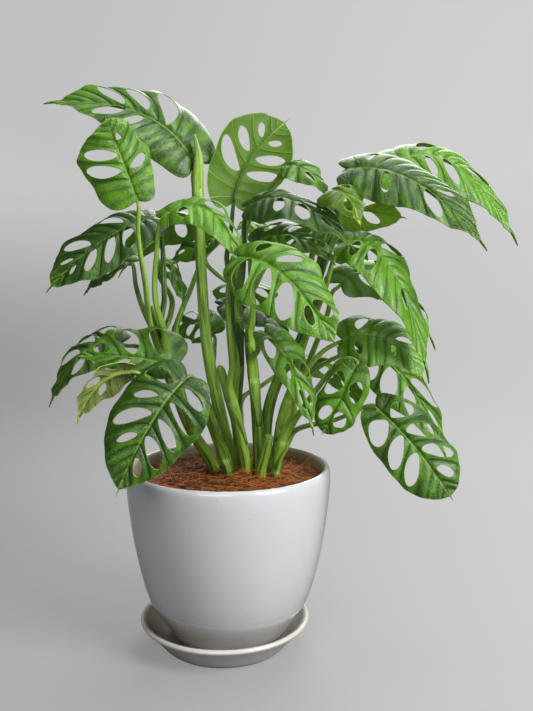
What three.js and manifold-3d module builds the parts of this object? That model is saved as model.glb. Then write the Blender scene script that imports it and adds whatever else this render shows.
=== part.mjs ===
// Swiss cheese plant (Monstera adansonii) in a glazed pot that stands on a saucer.
// Millimetres, +Z up. The origin is on the ground, under the axis of the pot.

import * as THREE from 'three';
import { mergeVertices } from 'three/addons/utils/BufferGeometryUtils.js';
import Module from 'manifold-3d';

const wasm = await Module();
wasm.setup();

// Driving dimensions ---------------------------------------------------------

const SEAT_GAP = 0.3;           // clearance between pieces that rest on each other

const POT_RIM_RADIUS = 85;
const POT_RIM_HEIGHT = 154;
const POT_FLOOR = 13;           // height of the inside of the pot's bottom
const DRAIN_RADIUS = 7;
const POT_SEGMENTS = 32;

const SAUCER_LIP_RADIUS = 71.5;
const SAUCER_HEIGHT = 24;
const SAUCER_FLOOR = 5.5;
const SAUCER_OFFSET_X = -3.8;   // the pot stands a little off the saucer's centre
const SAUCER_SEGMENTS = 32;

const COIR_EDGE_HEIGHT = 141;   // where the coir meets the pot
const COIR_HUMP = 4;            // how far its middle stands higher
const STEM_FOOT = 116;          // how deep the stems stand in the coir
const STEM_HOLE_CLEARANCE = 0.35;
const STEM_SIDES = 8;
const STEM_STEPS = 6;

const BLADE_THICKNESS = 0.8;
const MIDRIB_DEPTH = 1.0;       // how far the midrib stands out under the blade
const PETIOLE_SIDES = 5;
const SHEATH_LENGTH = 12;       // stretch where a petiole runs beside its stem

const COLOURS = {
  glaze: 0xc9cacb,
  saucer: 0xd0cdc6,
  coir: 0x8a4a1e,
  stem: 0x6a9a3a,
  leaf: 0x2c6b1c,
  youngLeaf: 0x6a9a2a,
  oldLeaf: 0x93a463,
};

// Stems: points of the centre line from the coir up, and the radius at each end. stem_cut is
// a stump.
const STEMS = {
  stem_left: {
    points: [[-14, 12, 150], [-31, 2, 183], [-45, -10, 233], [-55, -18, 268], [-59, -20, 288]],
    radii: [6, 3],
  },
  stem_side: {
    points: [[0, -5, 150], [-10, -14, 186], [-18, -22, 216]],
    radii: [5.6, 2.8],
  },
  stem_front: {
    points: [[15, 2, 150], [8, -6, 187], [1, -12, 213], [-6, -20, 240]],
    radii: [6.6, 3.4],
  },
  stem_tall: {
    points: [[2, 13, 150], [-6, 8, 190], [-17, 4, 250], [-22, 6, 316], [-24, 8, 392]],
    radii: [6.6, 4],
  },
  stem_middle: {
    points: [[14, 19, 150], [6, 16, 190], [9, 12, 240], [6, 10, 290], [4, 10, 328]],
    radii: [6.6, 3],
  },
  stem_centre: {
    points: [[26, 11, 150], [24, 6, 190], [20, 2, 236], [17, 0, 268]],
    radii: [6.8, 3],
  },
  stem_right: {
    points: [[30, 25, 150], [33, 18, 195], [43, 6, 228], [62, -2, 262], [71, -6, 300],
      [80, -8, 350]],
    radii: [6.8, 3],
  },
  stem_low: {
    points: [[40, 14, 150], [44, 12, 187], [53, 6, 214], [61, -2, 232]],
    radii: [5.6, 2.8],
  },
  stem_outer: {
    points: [[38, -1, 150], [46, -6, 178], [58, -10, 201]],
    radii: [4.4, 2.4],
  },
  stem_cut: {
    points: [[27, -6, 150], [31, -7, 166], [34, -8, 181]],
    radii: [4.8, 4],
  },
  stem_back: {
    points: [[8, 35, 150], [4, 40, 210], [4, 46, 262], [10, 52, 300]],
    radii: [5.4, 3.4],
  },
};

// Leaves. base, bend and tip are points of the midrib, which passes through the bend.
// face is the way the upper side looks at the base and at the tip. half is the width of
// the left and of the right side, fold how far the sides rise from the midrib in degrees,
// and curl how far they turn down again towards the margin in radians. holes gives the
// size of the hole in each cell between two side veins, from base to tip on each side: 0 is
// a whole cell, and at 1 the hole fills most of it. taper is given where the tip is blunter
// than on most leaves.
// The petiole leaves its stem at the height `from`, on the side that looks at the first
// point of `via`, and passes through those points.
const LEAVES = [
  {
    name: 'leaf_left_top', stem: 'stem_tall', from: 378, via: [[-30, 16, 393]],
    base: [-28, 12, 404], bend: [-68, 3, 440], tip: [-136, -6, 447],
    face: [[0.2, -0.8, 0.6], [-0.1, -0.7, 0.7]], half: [32, 38], fold: 14, curl: 0.9,
    holes: [[0, 0, 0.7, 1.1, 0], [0, 1.1, 0.9, 1, 0]], colour: 'leaf',
  },
  {
    name: 'leaf_left_small', stem: 'stem_left', from: 232,
    via: [[-60, -28, 276], [-61, -42, 305], [-64, -54, 343]],
    base: [-64, -56, 368], bend: [-76, -46, 398], tip: [-86, -56, 426],
    face: [[0.1, -1, 0.1], [0.2, -0.9, 0.5]], half: [32, 22], fold: 10, curl: 0.9,
    holes: [[0, 1.1, 1.1, 0], [0, 0.8, 0, 0.9]], colour: 'leaf', taper: 1.2,
  },
  {
    name: 'leaf_left_middle', stem: 'stem_left', from: 262, via: [[-50, -16, 299], [-52, -8, 336]],
    base: [-58, -11, 357], bend: [-92, -28, 341], tip: [-133, -40, 304],
    face: [[-0.1, -0.5, 0.9], [-0.4, -0.8, 0.5]], half: [32, 35], fold: 12, curl: 0.8,
    holes: [[0, 1, 0.9, 0.8, 0.4], [0, 1, 0, 1, 0.4]], colour: 'leaf', taper: 1.2,
  },
  {
    name: 'leaf_left_behind', stem: 'stem_left', from: 240, via: [[-70, 2, 285], [-77, 12, 303]],
    base: [-83, 18, 322], bend: [-102, 28, 317], tip: [-124, 36, 296],
    face: [[0, -0.5, 0.9], [-0.4, -0.4, 0.8]], half: [20, 18], fold: 12, curl: 0.8,
    holes: [[0.8, 0.4], [0, 0.8]], colour: 'leaf',
  },
  {
    name: 'leaf_left_bright', stem: 'stem_left', from: 246, via: [[-55, -31, 293], [-53, -36, 328]],
    base: [-47, -38, 357], bend: [-14, -42, 362], tip: [10, -48, 326],
    face: [[0, -0.6, 0.8], [0.6, -0.7, 0.5]], half: [16, 19], fold: 10, curl: 0.8,
    holes: [[0, 0.9, 0.7], [0.6, 0, 0]], colour: 'leaf', taper: 1.2,
  },
  {
    name: 'leaf_centre_dark', stem: 'stem_left', from: 222,
    via: [[-43, 2, 267], [-32, 14, 299], [-21, 27, 326]],
    base: [-9, 32, 343], bend: [-27, 40, 336], tip: [-52, 46, 320],
    face: [[0, -0.6, 0.8], [-0.3, -0.6, 0.7]], half: [15, 26], fold: 10, curl: 0.8,
    holes: [[0.5, 0, 0], [0, 0.7, 0.5]], colour: 'leaf',
  },
  {
    name: 'leaf_centre_hanging', stem: 'stem_left', from: 249,
    via: [[-47, 10, 291], [-58, 15, 311]],
    base: [-54, 8, 324], bend: [-44, 6, 312], tip: [-36, 0, 286],
    face: [[0.6, -0.4, 1.1], [1.5, -0.6, 0.6]], half: [12, 14], fold: 10, curl: 0.7,
    holes: [[0.4, 0], [0.8, 0.6]], colour: 'leaf',
  },
  {
    name: 'leaf_centre_top', stem: 'stem_middle', from: 300, via: [[-2, 18, 322], [2, 20, 349]],
    base: [4, 20, 371], bend: [17, 28, 407], tip: [47, 42, 440],
    face: [[-0.2, 0.95, 0.2], [-0.4, 0.7, -0.6]], half: [34, 32], fold: 8, curl: 0.7,
    holes: [[0, 1, 0.9, 0.5], [0, 1.2, 0.8, 0.5]], colour: 'youngLeaf', taper: 0.95,
  },
  {
    name: 'leaf_centre_upper', stem: 'stem_middle', from: 282, via: [[13, -6, 322], [14, -14, 352]],
    base: [18, -20, 366], bend: [54, -36, 368], tip: [93, -66, 334],
    face: [[0, -0.5, 0.9], [0.3, -0.5, 0.8]], half: [19, 34], fold: 12, curl: 0.8,
    holes: [[0.5, 0, 0.9, 0], [0, 0.8, 1, 0.6]], colour: 'leaf',
  },
  {
    name: 'leaf_front', stem: 'stem_front', from: 214, via: [[2, -36, 278], [3, -50, 305]],
    base: [11, -62, 326], bend: [44, -84, 313], tip: [79, -96, 267],
    face: [[-0.1, -0.7, 0.7], [0.2, -0.9, 0.4]], half: [28, 34], fold: 10, curl: 0.8,
    holes: [[0.5, 0.6, 0, 0.9], [1.2, 1.2, 1.2, 0.6]], colour: 'leaf', taper: 1.3,
  },
  {
    name: 'leaf_front_hanging', stem: 'stem_centre', from: 232,
    via: [[25, -30, 254], [25, -48, 267]],
    base: [30, -58, 270], bend: [49, -70, 246], tip: [65, -78, 201],
    face: [[0.4, -0.7, 0.5], [0.7, -0.7, 0.1]], half: [21, 15], fold: 12, curl: 0.8,
    holes: [[0, 0.9, 0.6], [0.9, 0.5, 0.9]], colour: 'leaf',
  },
  {
    name: 'leaf_centre_shade', stem: 'stem_centre', from: 250, via: [[10, 27, 261]],
    base: [-7, 32, 285], bend: [21, 33, 282], tip: [52, 30, 258],
    face: [[0.2, -0.5, 1.2], [0.6, -0.4, 1.2]], half: [19, 27], fold: 12, curl: 0.8,
    holes: [[0.35, 0.8], [0.6, 0]], colour: 'leaf',
  },
  {
    name: 'leaf_centre_wide', stem: 'stem_centre', from: 262, via: [[19, -10, 318]],
    base: [22, -25, 336], bend: [50, -36, 342], tip: [81, -46, 323],
    face: [[0, -0.64, 0.77], [0.3, -0.55, 0.8]], half: [27, 20], fold: 10, curl: 0.8,
    holes: [[0.6, 0.9, 0.7], [0, 0.7, 0.6]], colour: 'leaf',
  },
  {
    name: 'leaf_centre_glow', stem: 'stem_back', from: 288, via: [[34, 53, 329]],
    base: [41, 46, 343], bend: [24, 42, 351], tip: [6, 36, 350],
    face: [[0.1, -0.6, 1.2], [0, -0.6, 1.2]], half: [16, 18], fold: 8, curl: 0.7,
    holes: [[0, 0.7], [0.42, 0]], colour: 'youngLeaf',
  },
  {
    name: 'leaf_right_top', stem: 'stem_right', from: 332, via: [[89, -8, 375]],
    base: [95, -20, 394], bend: [142, -38, 384], tip: [188, -66, 337],
    face: [[0, -0.6, 0.8], [0.3, -0.7, 0.7]], half: [34, 34], fold: 12, curl: 0.9,
    holes: [[0.4, 0, 0, 0.5, 0], [0, 0.7, 0, 1.2, 0]], colour: 'leaf',
  },
  {
    name: 'leaf_right_high', stem: 'stem_right', from: 276, via: [[85, 20, 332], [108, 48, 371]],
    base: [128, 36, 398], bend: [186, 42, 408], tip: [243, 42, 346],
    face: [[0, -0.6, 0.8], [0.5, -0.6, 0.6]], half: [34, 36], fold: 10, curl: 1.0,
    holes: [[0, 1.1, 0, 0.9, 0], [0, 0.7, 0.9, 0, 0]], colour: 'leaf',
  },
  {
    name: 'leaf_right_backlit', stem: 'stem_right', from: 306, via: [[81, 8, 347]],
    base: [84, 16, 368], bend: [114, 10, 365], tip: [142, -2, 358],
    face: [[0, 0.7, 0.7], [0.2, 0.5, 0.8]], half: [24, 26], fold: 8, curl: 0.8,
    holes: [[0, 0.9, 0], [0.7, 1, 0]], colour: 'youngLeaf',
  },
  {
    name: 'leaf_right_round', stem: 'stem_right', from: 282, via: [[72, -20, 352], [73, -28, 368]],
    base: [78, -37, 375], bend: [90, -53, 372], tip: [100, -64, 350],
    face: [[0, -0.6, 0.8], [0.3, -0.8, 0.5]], half: [14, 20], fold: 10, curl: 0.9,
    holes: [[0.4, 0], [0, 0.7]], colour: 'youngLeaf',
  },
  {
    name: 'leaf_centre_right', stem: 'stem_middle', from: 306, via: [[16, 16, 353], [33, 12, 381]],
    base: [44, 6, 396], bend: [59, -4, 397], tip: [80, -14, 375],
    face: [[0, -0.5, 0.9], [0.3, -0.7, 0.6]], half: [16, 18], fold: 10, curl: 0.8,
    holes: [[0.48, 0], [0, 0.6]], colour: 'leaf',
  },
  {
    name: 'leaf_right_long', stem: 'stem_low', from: 214,
    via: [[63, -22, 261], [77, -34, 301], [84, -38, 326]],
    base: [93, -38, 338], bend: [125, -52, 317], tip: [150, -68, 243],
    face: [[0.2, -0.5, 0.8], [0.8, -0.5, 0.2]], half: [32, 32], fold: 16, curl: 1.0,
    holes: [[0, 0.8, 0, 0, 0], [0.8, 1, 0, 0.6, 0]], colour: 'leaf',
  },
  {
    name: 'leaf_right_under', stem: 'stem_low', from: 202,
    via: [[70, 4, 248], [82, -2, 282], [85, -6, 298]],
    base: [92, -8, 306], bend: [130, 2, 311], tip: [168, 4, 258],
    face: [[0, -0.5, 0.9], [0.6, -0.4, 0.6]], half: [28, 32], fold: 12, curl: 1.0,
    holes: [[0, 0.8, 1.2, 1.1], [0.6, 0, 1, 0]], colour: 'leaf',
  },
  {
    name: 'leaf_low_upper', stem: 'stem_outer', from: 188, via: [[63, -22, 235], [76, -28, 252]],
    base: [91, -32, 262], bend: [125, -44, 263], tip: [150, -54, 235],
    face: [[0, -0.7, 0.7], [0.4, -0.7, 0.6]], half: [28, 28], fold: 12, curl: 0.9,
    holes: [[0.5, 0, 0.6, 0], [0.5, 0, 0.5, 0]], colour: 'leaf',
  },
  {
    name: 'leaf_low_middle', stem: 'stem_low', from: 188, via: [[60, 6, 221], [84, -2, 242]],
    base: [108, -8, 251], bend: [143, -12, 229], tip: [176, -20, 167],
    face: [[0.2, -0.7, 0.6], [0.6, -0.7, 0.3]], half: [26, 30], fold: 12, curl: 0.9,
    holes: [[0.88, 1.2, 1.2, 0.6], [1.1, 1.2, 1.2, 0.8]], colour: 'leaf',
  },
  {
    name: 'leaf_low_outer', stem: 'stem_outer', from: 157, via: [[54, -8, 183], [87, -26, 197]],
    base: [117, -42, 210], bend: [145, -54, 182], tip: [172, -62, 145],
    face: [[0, -0.9, 0.4], [0, -0.9, 0.4]], half: [27, 28], fold: 6, curl: 0.6,
    holes: [[1, 1.1, 1.1, 0.8], [1.2, 1.2, 1.2, 0]], colour: 'leaf', taper: 0.9,
  },
  {
    name: 'leaf_low_small', stem: 'stem_outer', from: 182, via: [[67, -38, 218], [91, -50, 249]],
    base: [99, -58, 245], bend: [87, -62, 219], tip: [75, -60, 194],
    face: [[-0.2, -0.95, 0.2], [-0.2, -0.95, 0.2]], half: [18, 17], fold: 10, curl: 0.7,
    holes: [[0.77, 0.9], [0.99, 0.8]], colour: 'leaf', taper: 1.0,
  },
  {
    name: 'leaf_outer_left', stem: 'stem_left', from: 206, via: [[-57, -6, 244], [-72, -4, 253]],
    base: [-88, 2, 256], bend: [-116, -4, 250], tip: [-142, -16, 211],
    face: [[0, -0.5, 0.9], [-0.7, -0.5, 0.5]], half: [26, 30], fold: 12, curl: 0.9,
    holes: [[0, 0.9, 1.2, 0.4], [1, 1.2, 1.1, 0]], colour: 'leaf',
  },
  {
    name: 'leaf_left_green', stem: 'stem_side', from: 203, via: [[-27, -46, 228]],
    base: [-37, -57, 244], bend: [-72, -57, 251], tip: [-109, -56, 251],
    face: [[0, -0.8, 0.6], [-0.2, -0.7, 0.7]], half: [14, 36], fold: 12, curl: 0.9,
    holes: [[0, 0.5, 0], [0.9, 1.2, 0.8]], colour: 'leaf',
  },
  {
    name: 'leaf_left_pale', stem: 'stem_side', from: 188, via: [[-35, -34, 211], [-50, -64, 233]],
    base: [-69, -72, 243], bend: [-90, -77, 234], tip: [-106, -80, 208],
    face: [[0.1, 0.7, 0.6], [-0.5, 0.6, 0.6]], half: [14, 16], fold: 8, curl: 0.7,
    holes: [[0.63, 0.9, 0], [0, 0.8, 0]], colour: 'oldLeaf',
  },
  {
    name: 'leaf_front_low', stem: 'stem_side', from: 168, via: [[-19, -60, 225]],
    base: [-26, -78, 239], bend: [-49, -96, 211], tip: [-73, -106, 163],
    face: [[-0.1, -0.9, 0.4], [0, -1, 0.1]], half: [34, 34], fold: 8, curl: 0.8,
    holes: [[0.8, 1, 0.9, 1.2, 0.7], [1.1, 0.5, 1.1, 0.5, 0]], colour: 'leaf', taper: 1.3,
  },
  {
    name: 'leaf_back_left', stem: 'stem_back', from: 286, via: [[-22, 62, 322]],
    base: [-25, 72, 348], bend: [-59, 86, 357], tip: [-103, 100, 314],
    face: [[0, 0.4, 0.9], [-0.5, 0.5, 0.7]], half: [34, 34], fold: 12, curl: 0.9,
    holes: [[0, 0.9, 1, 0.7], [0.6, 1, 0, 0.8]], colour: 'leaf',
  },
  {
    name: 'leaf_back_right', stem: 'stem_back', from: 276, via: [[30, 62, 317]],
    base: [46, 68, 340], bend: [86, 88, 346], tip: [132, 104, 302],
    face: [[0, 0.4, 0.9], [0.5, 0.5, 0.7]], half: [34, 34], fold: 12, curl: 0.9,
    holes: [[0.6, 0, 1, 0.8], [0, 0.9, 1, 0]], colour: 'leaf',
  },
  {
    name: 'leaf_back_middle', stem: 'stem_back', from: 256, via: [[13, 78, 282]],
    base: [14, 92, 300], bend: [10, 122, 292], tip: [4, 148, 250],
    face: [[0, 0.5, 0.9], [0, 0.9, 0.4]], half: [32, 32], fold: 12, curl: 0.9,
    holes: [[0, 0.9, 1, 0], [0.8, 1, 0.8, 0]], colour: 'leaf',
  },
  {
    name: 'leaf_back_low_left', stem: 'stem_back', from: 206, via: [[-15, 50, 218], [-15, 57, 243]],
    base: [-16, 60, 258], bend: [-34, 62, 268], tip: [-56, 66, 254],
    face: [[0, -0.6, 0.8], [-0.4, -0.6, 0.7]], half: [22, 24], fold: 12, curl: 0.9,
    holes: [[0.8, 1, 0], [0, 0.9, 0.8]], colour: 'leaf',
  },
  {
    name: 'leaf_back_low_right', stem: 'stem_back', from: 190, via: [[28, 52, 213]],
    base: [56, 58, 232], bend: [90, 76, 226], tip: [120, 90, 184],
    face: [[0, 0.4, 0.9], [0.6, 0.5, 0.6]], half: [28, 28], fold: 12, curl: 0.9,
    holes: [[0, 1, 0.8], [0.8, 0.9, 0]], colour: 'leaf',
  },
];

// Small helpers --------------------------------------------------------------

const vec = (p) => new THREE.Vector3(p[0], p[1], p[2]);
const lerp = (a, b, share) => a + (b - a) * share;
const radians = THREE.MathUtils.degToRad;

function geometryOf(vertices, triangles) {
  const geometry = new THREE.BufferGeometry();
  geometry.setAttribute('position', new THREE.Float32BufferAttribute(vertices, 3));
  geometry.setIndex(triangles);
  return geometry;
}

function manifoldOf(geometry) {
  const bare = geometry.clone();
  bare.deleteAttribute('normal');
  bare.deleteAttribute('uv');
  const merged = mergeVertices(bare, 1e-4);
  return new wasm.Manifold(new wasm.Mesh({
    numProp: 3,
    vertProperties: new Float32Array(merged.getAttribute('position').array),
    triVerts: new Uint32Array(merged.index.array),
  }));
}

function geometryFrom(manifold) {
  const mesh = manifold.getMesh();
  return geometryOf(Array.from(mesh.vertProperties), Array.from(mesh.triVerts));
}

function lathe(profile, segments) {
  const points = profile.map(([radius, height]) => new THREE.Vector2(radius, height));
  return new THREE.LatheGeometry(points, segments).rotateX(Math.PI / 2);
}

// A closed tube along a curve: `shares` are the places of its rings, `radii` their radii and
// `facing` the direction in which the first corner of the first ring points.
function tube(curve, shares, radii, sides, facing) {
  const steps = shares.length - 1;
  const vertices = [];
  const triangles = [];
  let across = facing;
  shares.forEach((share, ring) => {
    const middle = curve.getPoint(share);
    const tangent = curve.getTangent(share);
    across = across.clone().addScaledVector(tangent, -across.dot(tangent)).normalize();
    const other = tangent.clone().cross(across);
    for (let side = 0; side < sides; side++) {
      const angle = 2 * Math.PI * side / sides;
      const point = middle.clone()
        .addScaledVector(across, radii[ring] * Math.cos(angle))
        .addScaledVector(other, radii[ring] * Math.sin(angle));
      vertices.push(point.x, point.y, point.z);
    }
  });
  for (let ring = 0; ring < steps; ring++) {
    for (let side = 0; side < sides; side++) {
      const a = ring * sides + side;
      const b = ring * sides + (side + 1) % sides;
      triangles.push(a, b, a + sides, b, b + sides, a + sides);
    }
  }
  for (let side = 2; side < sides; side++) {
    triangles.push(0, side, side - 1);
    const last = steps * sides;
    triangles.push(last, last + side - 1, last + side);
  }
  return geometryOf(vertices, triangles);
}

// Pot, saucer and coir -------------------------------------------------------

const POT_FOOT = SAUCER_FLOOR + SEAT_GAP;
const POT_FLOOR_RADIUS = 40;
const FOOT_RECESS = 1.5;        // how far the underside stands back inside the foot ring

// Outside of the pot from the foot to the rim, and its inside from the rim down:
// the radius and the height of each point.
const POT_OUTSIDE = [
  [44, POT_FOOT], [51.5, 16], [57, 25], [65.5, 39], [71.3, 54], [80.5, 97],
  [POT_RIM_RADIUS, 149], [83.6, 153], [81.6, POT_RIM_HEIGHT],
];
const POT_INSIDE = [
  [79.2, 152], [78.5, 140], [74.6, 97], [65.4, 54], [51, 25], [POT_FLOOR_RADIUS, POT_FLOOR],
];

function potGeometry() {
  const recess = POT_FOOT + FOOT_RECESS;
  const underside = [
    [DRAIN_RADIUS, POT_FLOOR], [DRAIN_RADIUS, recess], [40, recess], [41, POT_FOOT], [44, POT_FOOT],
  ];
  return lathe([...POT_OUTSIDE, ...POT_INSIDE, ...underside], POT_SEGMENTS);
}

function saucerGeometry() {
  const profile = [
    [0, 0], [51, 0], [53, 1.5], [63, 13], [68.6, 18.5], [SAUCER_LIP_RADIUS, 21.8],
    [70.2, SAUCER_HEIGHT], [67.4, SAUCER_HEIGHT - 0.4], [64.6, 20], [51, SAUCER_FLOOR],
    [0, SAUCER_FLOOR],
  ];
  return lathe(profile, SAUCER_SEGMENTS).translate(SAUCER_OFFSET_X, 0, 0);
}

// The coir fills the pot, humps up a little in the middle and has a plain hole for each stem.
function coirGeometry() {
  const bottom = POT_FLOOR + SEAT_GAP;
  const wall = POT_INSIDE.slice(1, -1).reverse()
    .map(([radius, height]) => [radius - SEAT_GAP, height]);
  const [edge] = wall.at(-1);
  const hump = [1, 0.6, 0].map((share) => [
    edge * share, COIR_EDGE_HEIGHT + COIR_HUMP * Math.cos(share * Math.PI / 2),
  ]);
  const profile = [[0, bottom], [POT_FLOOR_RADIUS - 2 * SEAT_GAP, bottom], ...wall, ...hump];
  const body = manifoldOf(lathe(profile, POT_SEGMENTS));
  const holes = Object.values(STEMS).map((stem) => manifoldOf(
    stemGeometry(stem, STEM_HOLE_CLEARANCE).translate(0, 0, -SEAT_GAP),
  ));
  return geometryFrom(holes.reduce((left, hole) => left.subtract(hole), body));
}

// Stems ----------------------------------------------------------------------

function stemCurve({ points }) {
  const [x, y, height] = points[0];
  const foot = [[x, y, STEM_FOOT], [x, y, lerp(STEM_FOOT, height, 0.6)]];
  return new THREE.CatmullRomCurve3([...foot, ...points].map(vec), false, 'centripetal');
}

const stemShares = Array.from({ length: STEM_STEPS + 1 }, (_, i) => i / STEM_STEPS);

function stemGeometry(stem, clearance = 0) {
  const radii = stemShares.map((share) => lerp(...stem.radii, share) + clearance);
  return tube(stemCurve(stem), stemShares, radii, STEM_SIDES, new THREE.Vector3(1, 0, 0));
}

// The middle, the direction and the radius of a stem's straight-sided tube at a height.
function stemAt(stem, height) {
  const curve = stemCurve(stem);
  const rings = stemShares.map((share) => curve.getPoint(share));
  const above = rings.findIndex((ring) => ring.z > height);
  const [low, high] = [rings[above - 1], rings[above]];
  const share = (height - low.z) / (high.z - low.z);
  return {
    middle: low.clone().lerp(high, share),
    along: high.clone().sub(low).normalize(),
    radius: lerp(...stem.radii, (above - 1 + share) / STEM_STEPS),
  };
}

// Leaf blade -----------------------------------------------------------------

const BASE_POWER = 0.5;         // how round the outline is at the base
const TIP_POWER = 1.6;          // and how pointed it is at the tip
const LOBE_SETBACK = 0.12;      // how far the base lobes reach back, as a share of the length
const LOBE_PLACE = 0.05;
const VEIN_SWEEP = 0.85;        // how far the side veins lean forward
const VEIN_BEND = 1.3;          // and how late they turn that way
const FIRST_VEIN = 0.07;
const LAST_VEIN = 0.86;
const HOLE_CORNERS = [-60, 0, 60, 120, 180, 240];

const widthShape = (s, taper) => s ** BASE_POWER * (1 - s) ** taper;

function sweep(s) {
  const lobe = Math.sqrt(s / LOBE_PLACE) * Math.exp((1 - s / LOBE_PLACE) / 2);
  return VEIN_SWEEP * s * (1 - s) - LOBE_SETBACK * lobe;
}

function midribOf({ base, bend, tip }) {
  const control = vec(bend).multiplyScalar(2)
    .addScaledVector(vec(base), -0.5)
    .addScaledVector(vec(tip), -0.5);
  return new THREE.QuadraticBezierCurve3(vec(base), control, vec(tip));
}

// The frame of the blade at a share of the midrib: its place, its direction and its upper side.
function frameAt(leaf, midrib, share) {
  const along = midrib.getTangent(share);
  const up = vec(leaf.face[0]).lerp(vec(leaf.face[1]), share);
  up.addScaledVector(along, -up.dot(along)).normalize();
  return { middle: midrib.getPoint(share), along, up };
}

// Surface of a blade: s runs from base to tip, t from the midrib to the margin.
function bladeSurface(leaf) {
  const midrib = midribOf(leaf);
  const length = midrib.getLength();
  const fold = radians(leaf.fold);
  const { taper = TIP_POWER } = leaf;
  const widest = widthShape(BASE_POWER / (BASE_POWER + taper), taper);
  return (side, s, t) => {
    const share = s + sweep(s) * t ** VEIN_BEND;
    const { middle, along, up } = frameAt(leaf, midrib, Math.max(share, 0));
    middle.addScaledVector(along, Math.min(share, 0) * length);
    const across = along.clone().cross(up).multiplyScalar(side === 0 ? -1 : 1);
    const bend = leaf.curl / leaf.half[side];
    const turn = fold - bend * leaf.half[side] * t * widthShape(s, taper) / widest;
    const out = (Math.sin(fold) - Math.sin(turn)) / bend;
    const rise = (Math.cos(turn) - Math.cos(fold)) / bend;
    const normal = up.clone();
    if (t > 0) normal.multiplyScalar(Math.cos(turn)).addScaledVector(across, -Math.sin(turn));
    return { point: middle.addScaledVector(across, out).addScaledVector(up, rise), normal };
  };
}

// Triangles of a patch without a hole, fanned round a point inside it.
function fanTriangles(loop, centre) {
  return loop.map((corner, i) => [corner, loop[(i + 1) % loop.length], centre]);
}

// Triangles round a hole, between two loops with the same number of corners.
function ringTriangles(outer, inner) {
  return outer.flatMap((corner, i) => {
    const next = (i + 1) % outer.length;
    return [[corner, outer[next], inner[i]], [outer[next], inner[next], inner[i]]];
  });
}

// One cell between two side veins with its hole. A hole of size 1 fills most of the cell, and
// a smaller one is also shorter and lies closer to the midrib.
function cellTriangles(from, to, size) {
  const middle = (from + to) / 2;
  const loop = [[to, 0], [to, 0.5], [to, 1], [from, 1], [from, 0.5], [from, 0]];
  if (size === 0) return fanTriangles(loop, [middle, 0.5]);
  const halfWidth = (to - from) * (0.06 + 0.26 * size);
  const halfLength = 0.12 + 0.27 * size;
  const centre = 0.4 + 0.08 * size;
  return ringTriangles(loop, HOLE_CORNERS.map((angle) => [
    middle + halfWidth * Math.cos(radians(angle)),
    centre + halfLength * Math.sin(radians(angle)),
  ]));
}

// Triangles of one side of a blade in (s, t): the base, the cells and the tip.
function sideTriangles(holes) {
  const base = [
    [0, 0], [FIRST_VEIN, 0], [FIRST_VEIN, 0.5], [FIRST_VEIN, 1],
    [0.45 * FIRST_VEIN, 1], [0.12 * FIRST_VEIN, 1],
  ];
  const nearTip = lerp(LAST_VEIN, 1, 0.5);
  const tip = [
    [LAST_VEIN, 0], [nearTip, 0], [1, 0], [nearTip, 1], [LAST_VEIN, 1], [LAST_VEIN, 0.5],
  ];
  const cells = holes.flatMap((hole, i) => cellTriangles(
    lerp(FIRST_VEIN, LAST_VEIN, i / holes.length),
    lerp(FIRST_VEIN, LAST_VEIN, (i + 1) / holes.length),
    hole,
  ));
  return [
    ...fanTriangles(base, [0.55 * FIRST_VEIN, 0.5]),
    ...cells,
    ...fanTriangles(tip, [lerp(LAST_VEIN, 1, 0.35), 0.45]),
  ];
}

// The blade as one closed solid: an upper and a lower face on the same triangles, with
// walls along the margin and round each hole.
function bladeGeometry(leaf) {
  const surface = bladeSurface(leaf);
  const upper = [];
  const lower = [];
  const places = new Map();
  const placeOf = (side, [s, t]) => {
    const key = t === 0 ? s.toFixed(4) : `${side} ${s.toFixed(4)} ${t.toFixed(4)}`;
    if (!places.has(key)) {
      const { point, normal } = surface(side, s, t);
      const depth = BLADE_THICKNESS / 2 + (t === 0 ? MIDRIB_DEPTH * (1 - s) : 0);
      upper.push(point.clone().addScaledVector(normal, BLADE_THICKNESS / 2));
      lower.push(point.clone().addScaledVector(normal, -depth));
      places.set(key, places.size);
    }
    return places.get(key);
  };
  const faces = [0, 1].flatMap((side) => sideTriangles(leaf.holes[side]).map((corners) => {
    const face = corners.map((corner) => placeOf(side, corner));
    return side === 0 ? face : face.reverse();
  }));
  const count = places.size;
  const edges = new Set(faces.flatMap(([a, b, c]) => [`${a} ${b}`, `${b} ${c}`, `${c} ${a}`]));
  const walls = [...edges].filter((edge) => !edges.has(edge.split(' ').reverse().join(' ')))
    .flatMap((edge) => {
      const [a, b] = edge.split(' ').map(Number);
      return [[a, a + count, b + count], [a, b + count, b]];
    });
  const below = faces.map(([a, b, c]) => [a + count, c + count, b + count]);
  const vertices = [...upper, ...lower].flatMap((point) => point.toArray());
  return geometryOf(vertices, [...faces, ...below, ...walls].flat());
}

// Petiole --------------------------------------------------------------------

// Places of the rings along a petiole, and their radii from the stem to the blade.
const PETIOLE_SHARES = [0, 0.14, 0.3, 0.48, 0.66, 0.85, 1];
const PETIOLE_RADII = [3.2, 2.8, 2.4, 2.1, 1.8, 1.5, 1.1];

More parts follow.
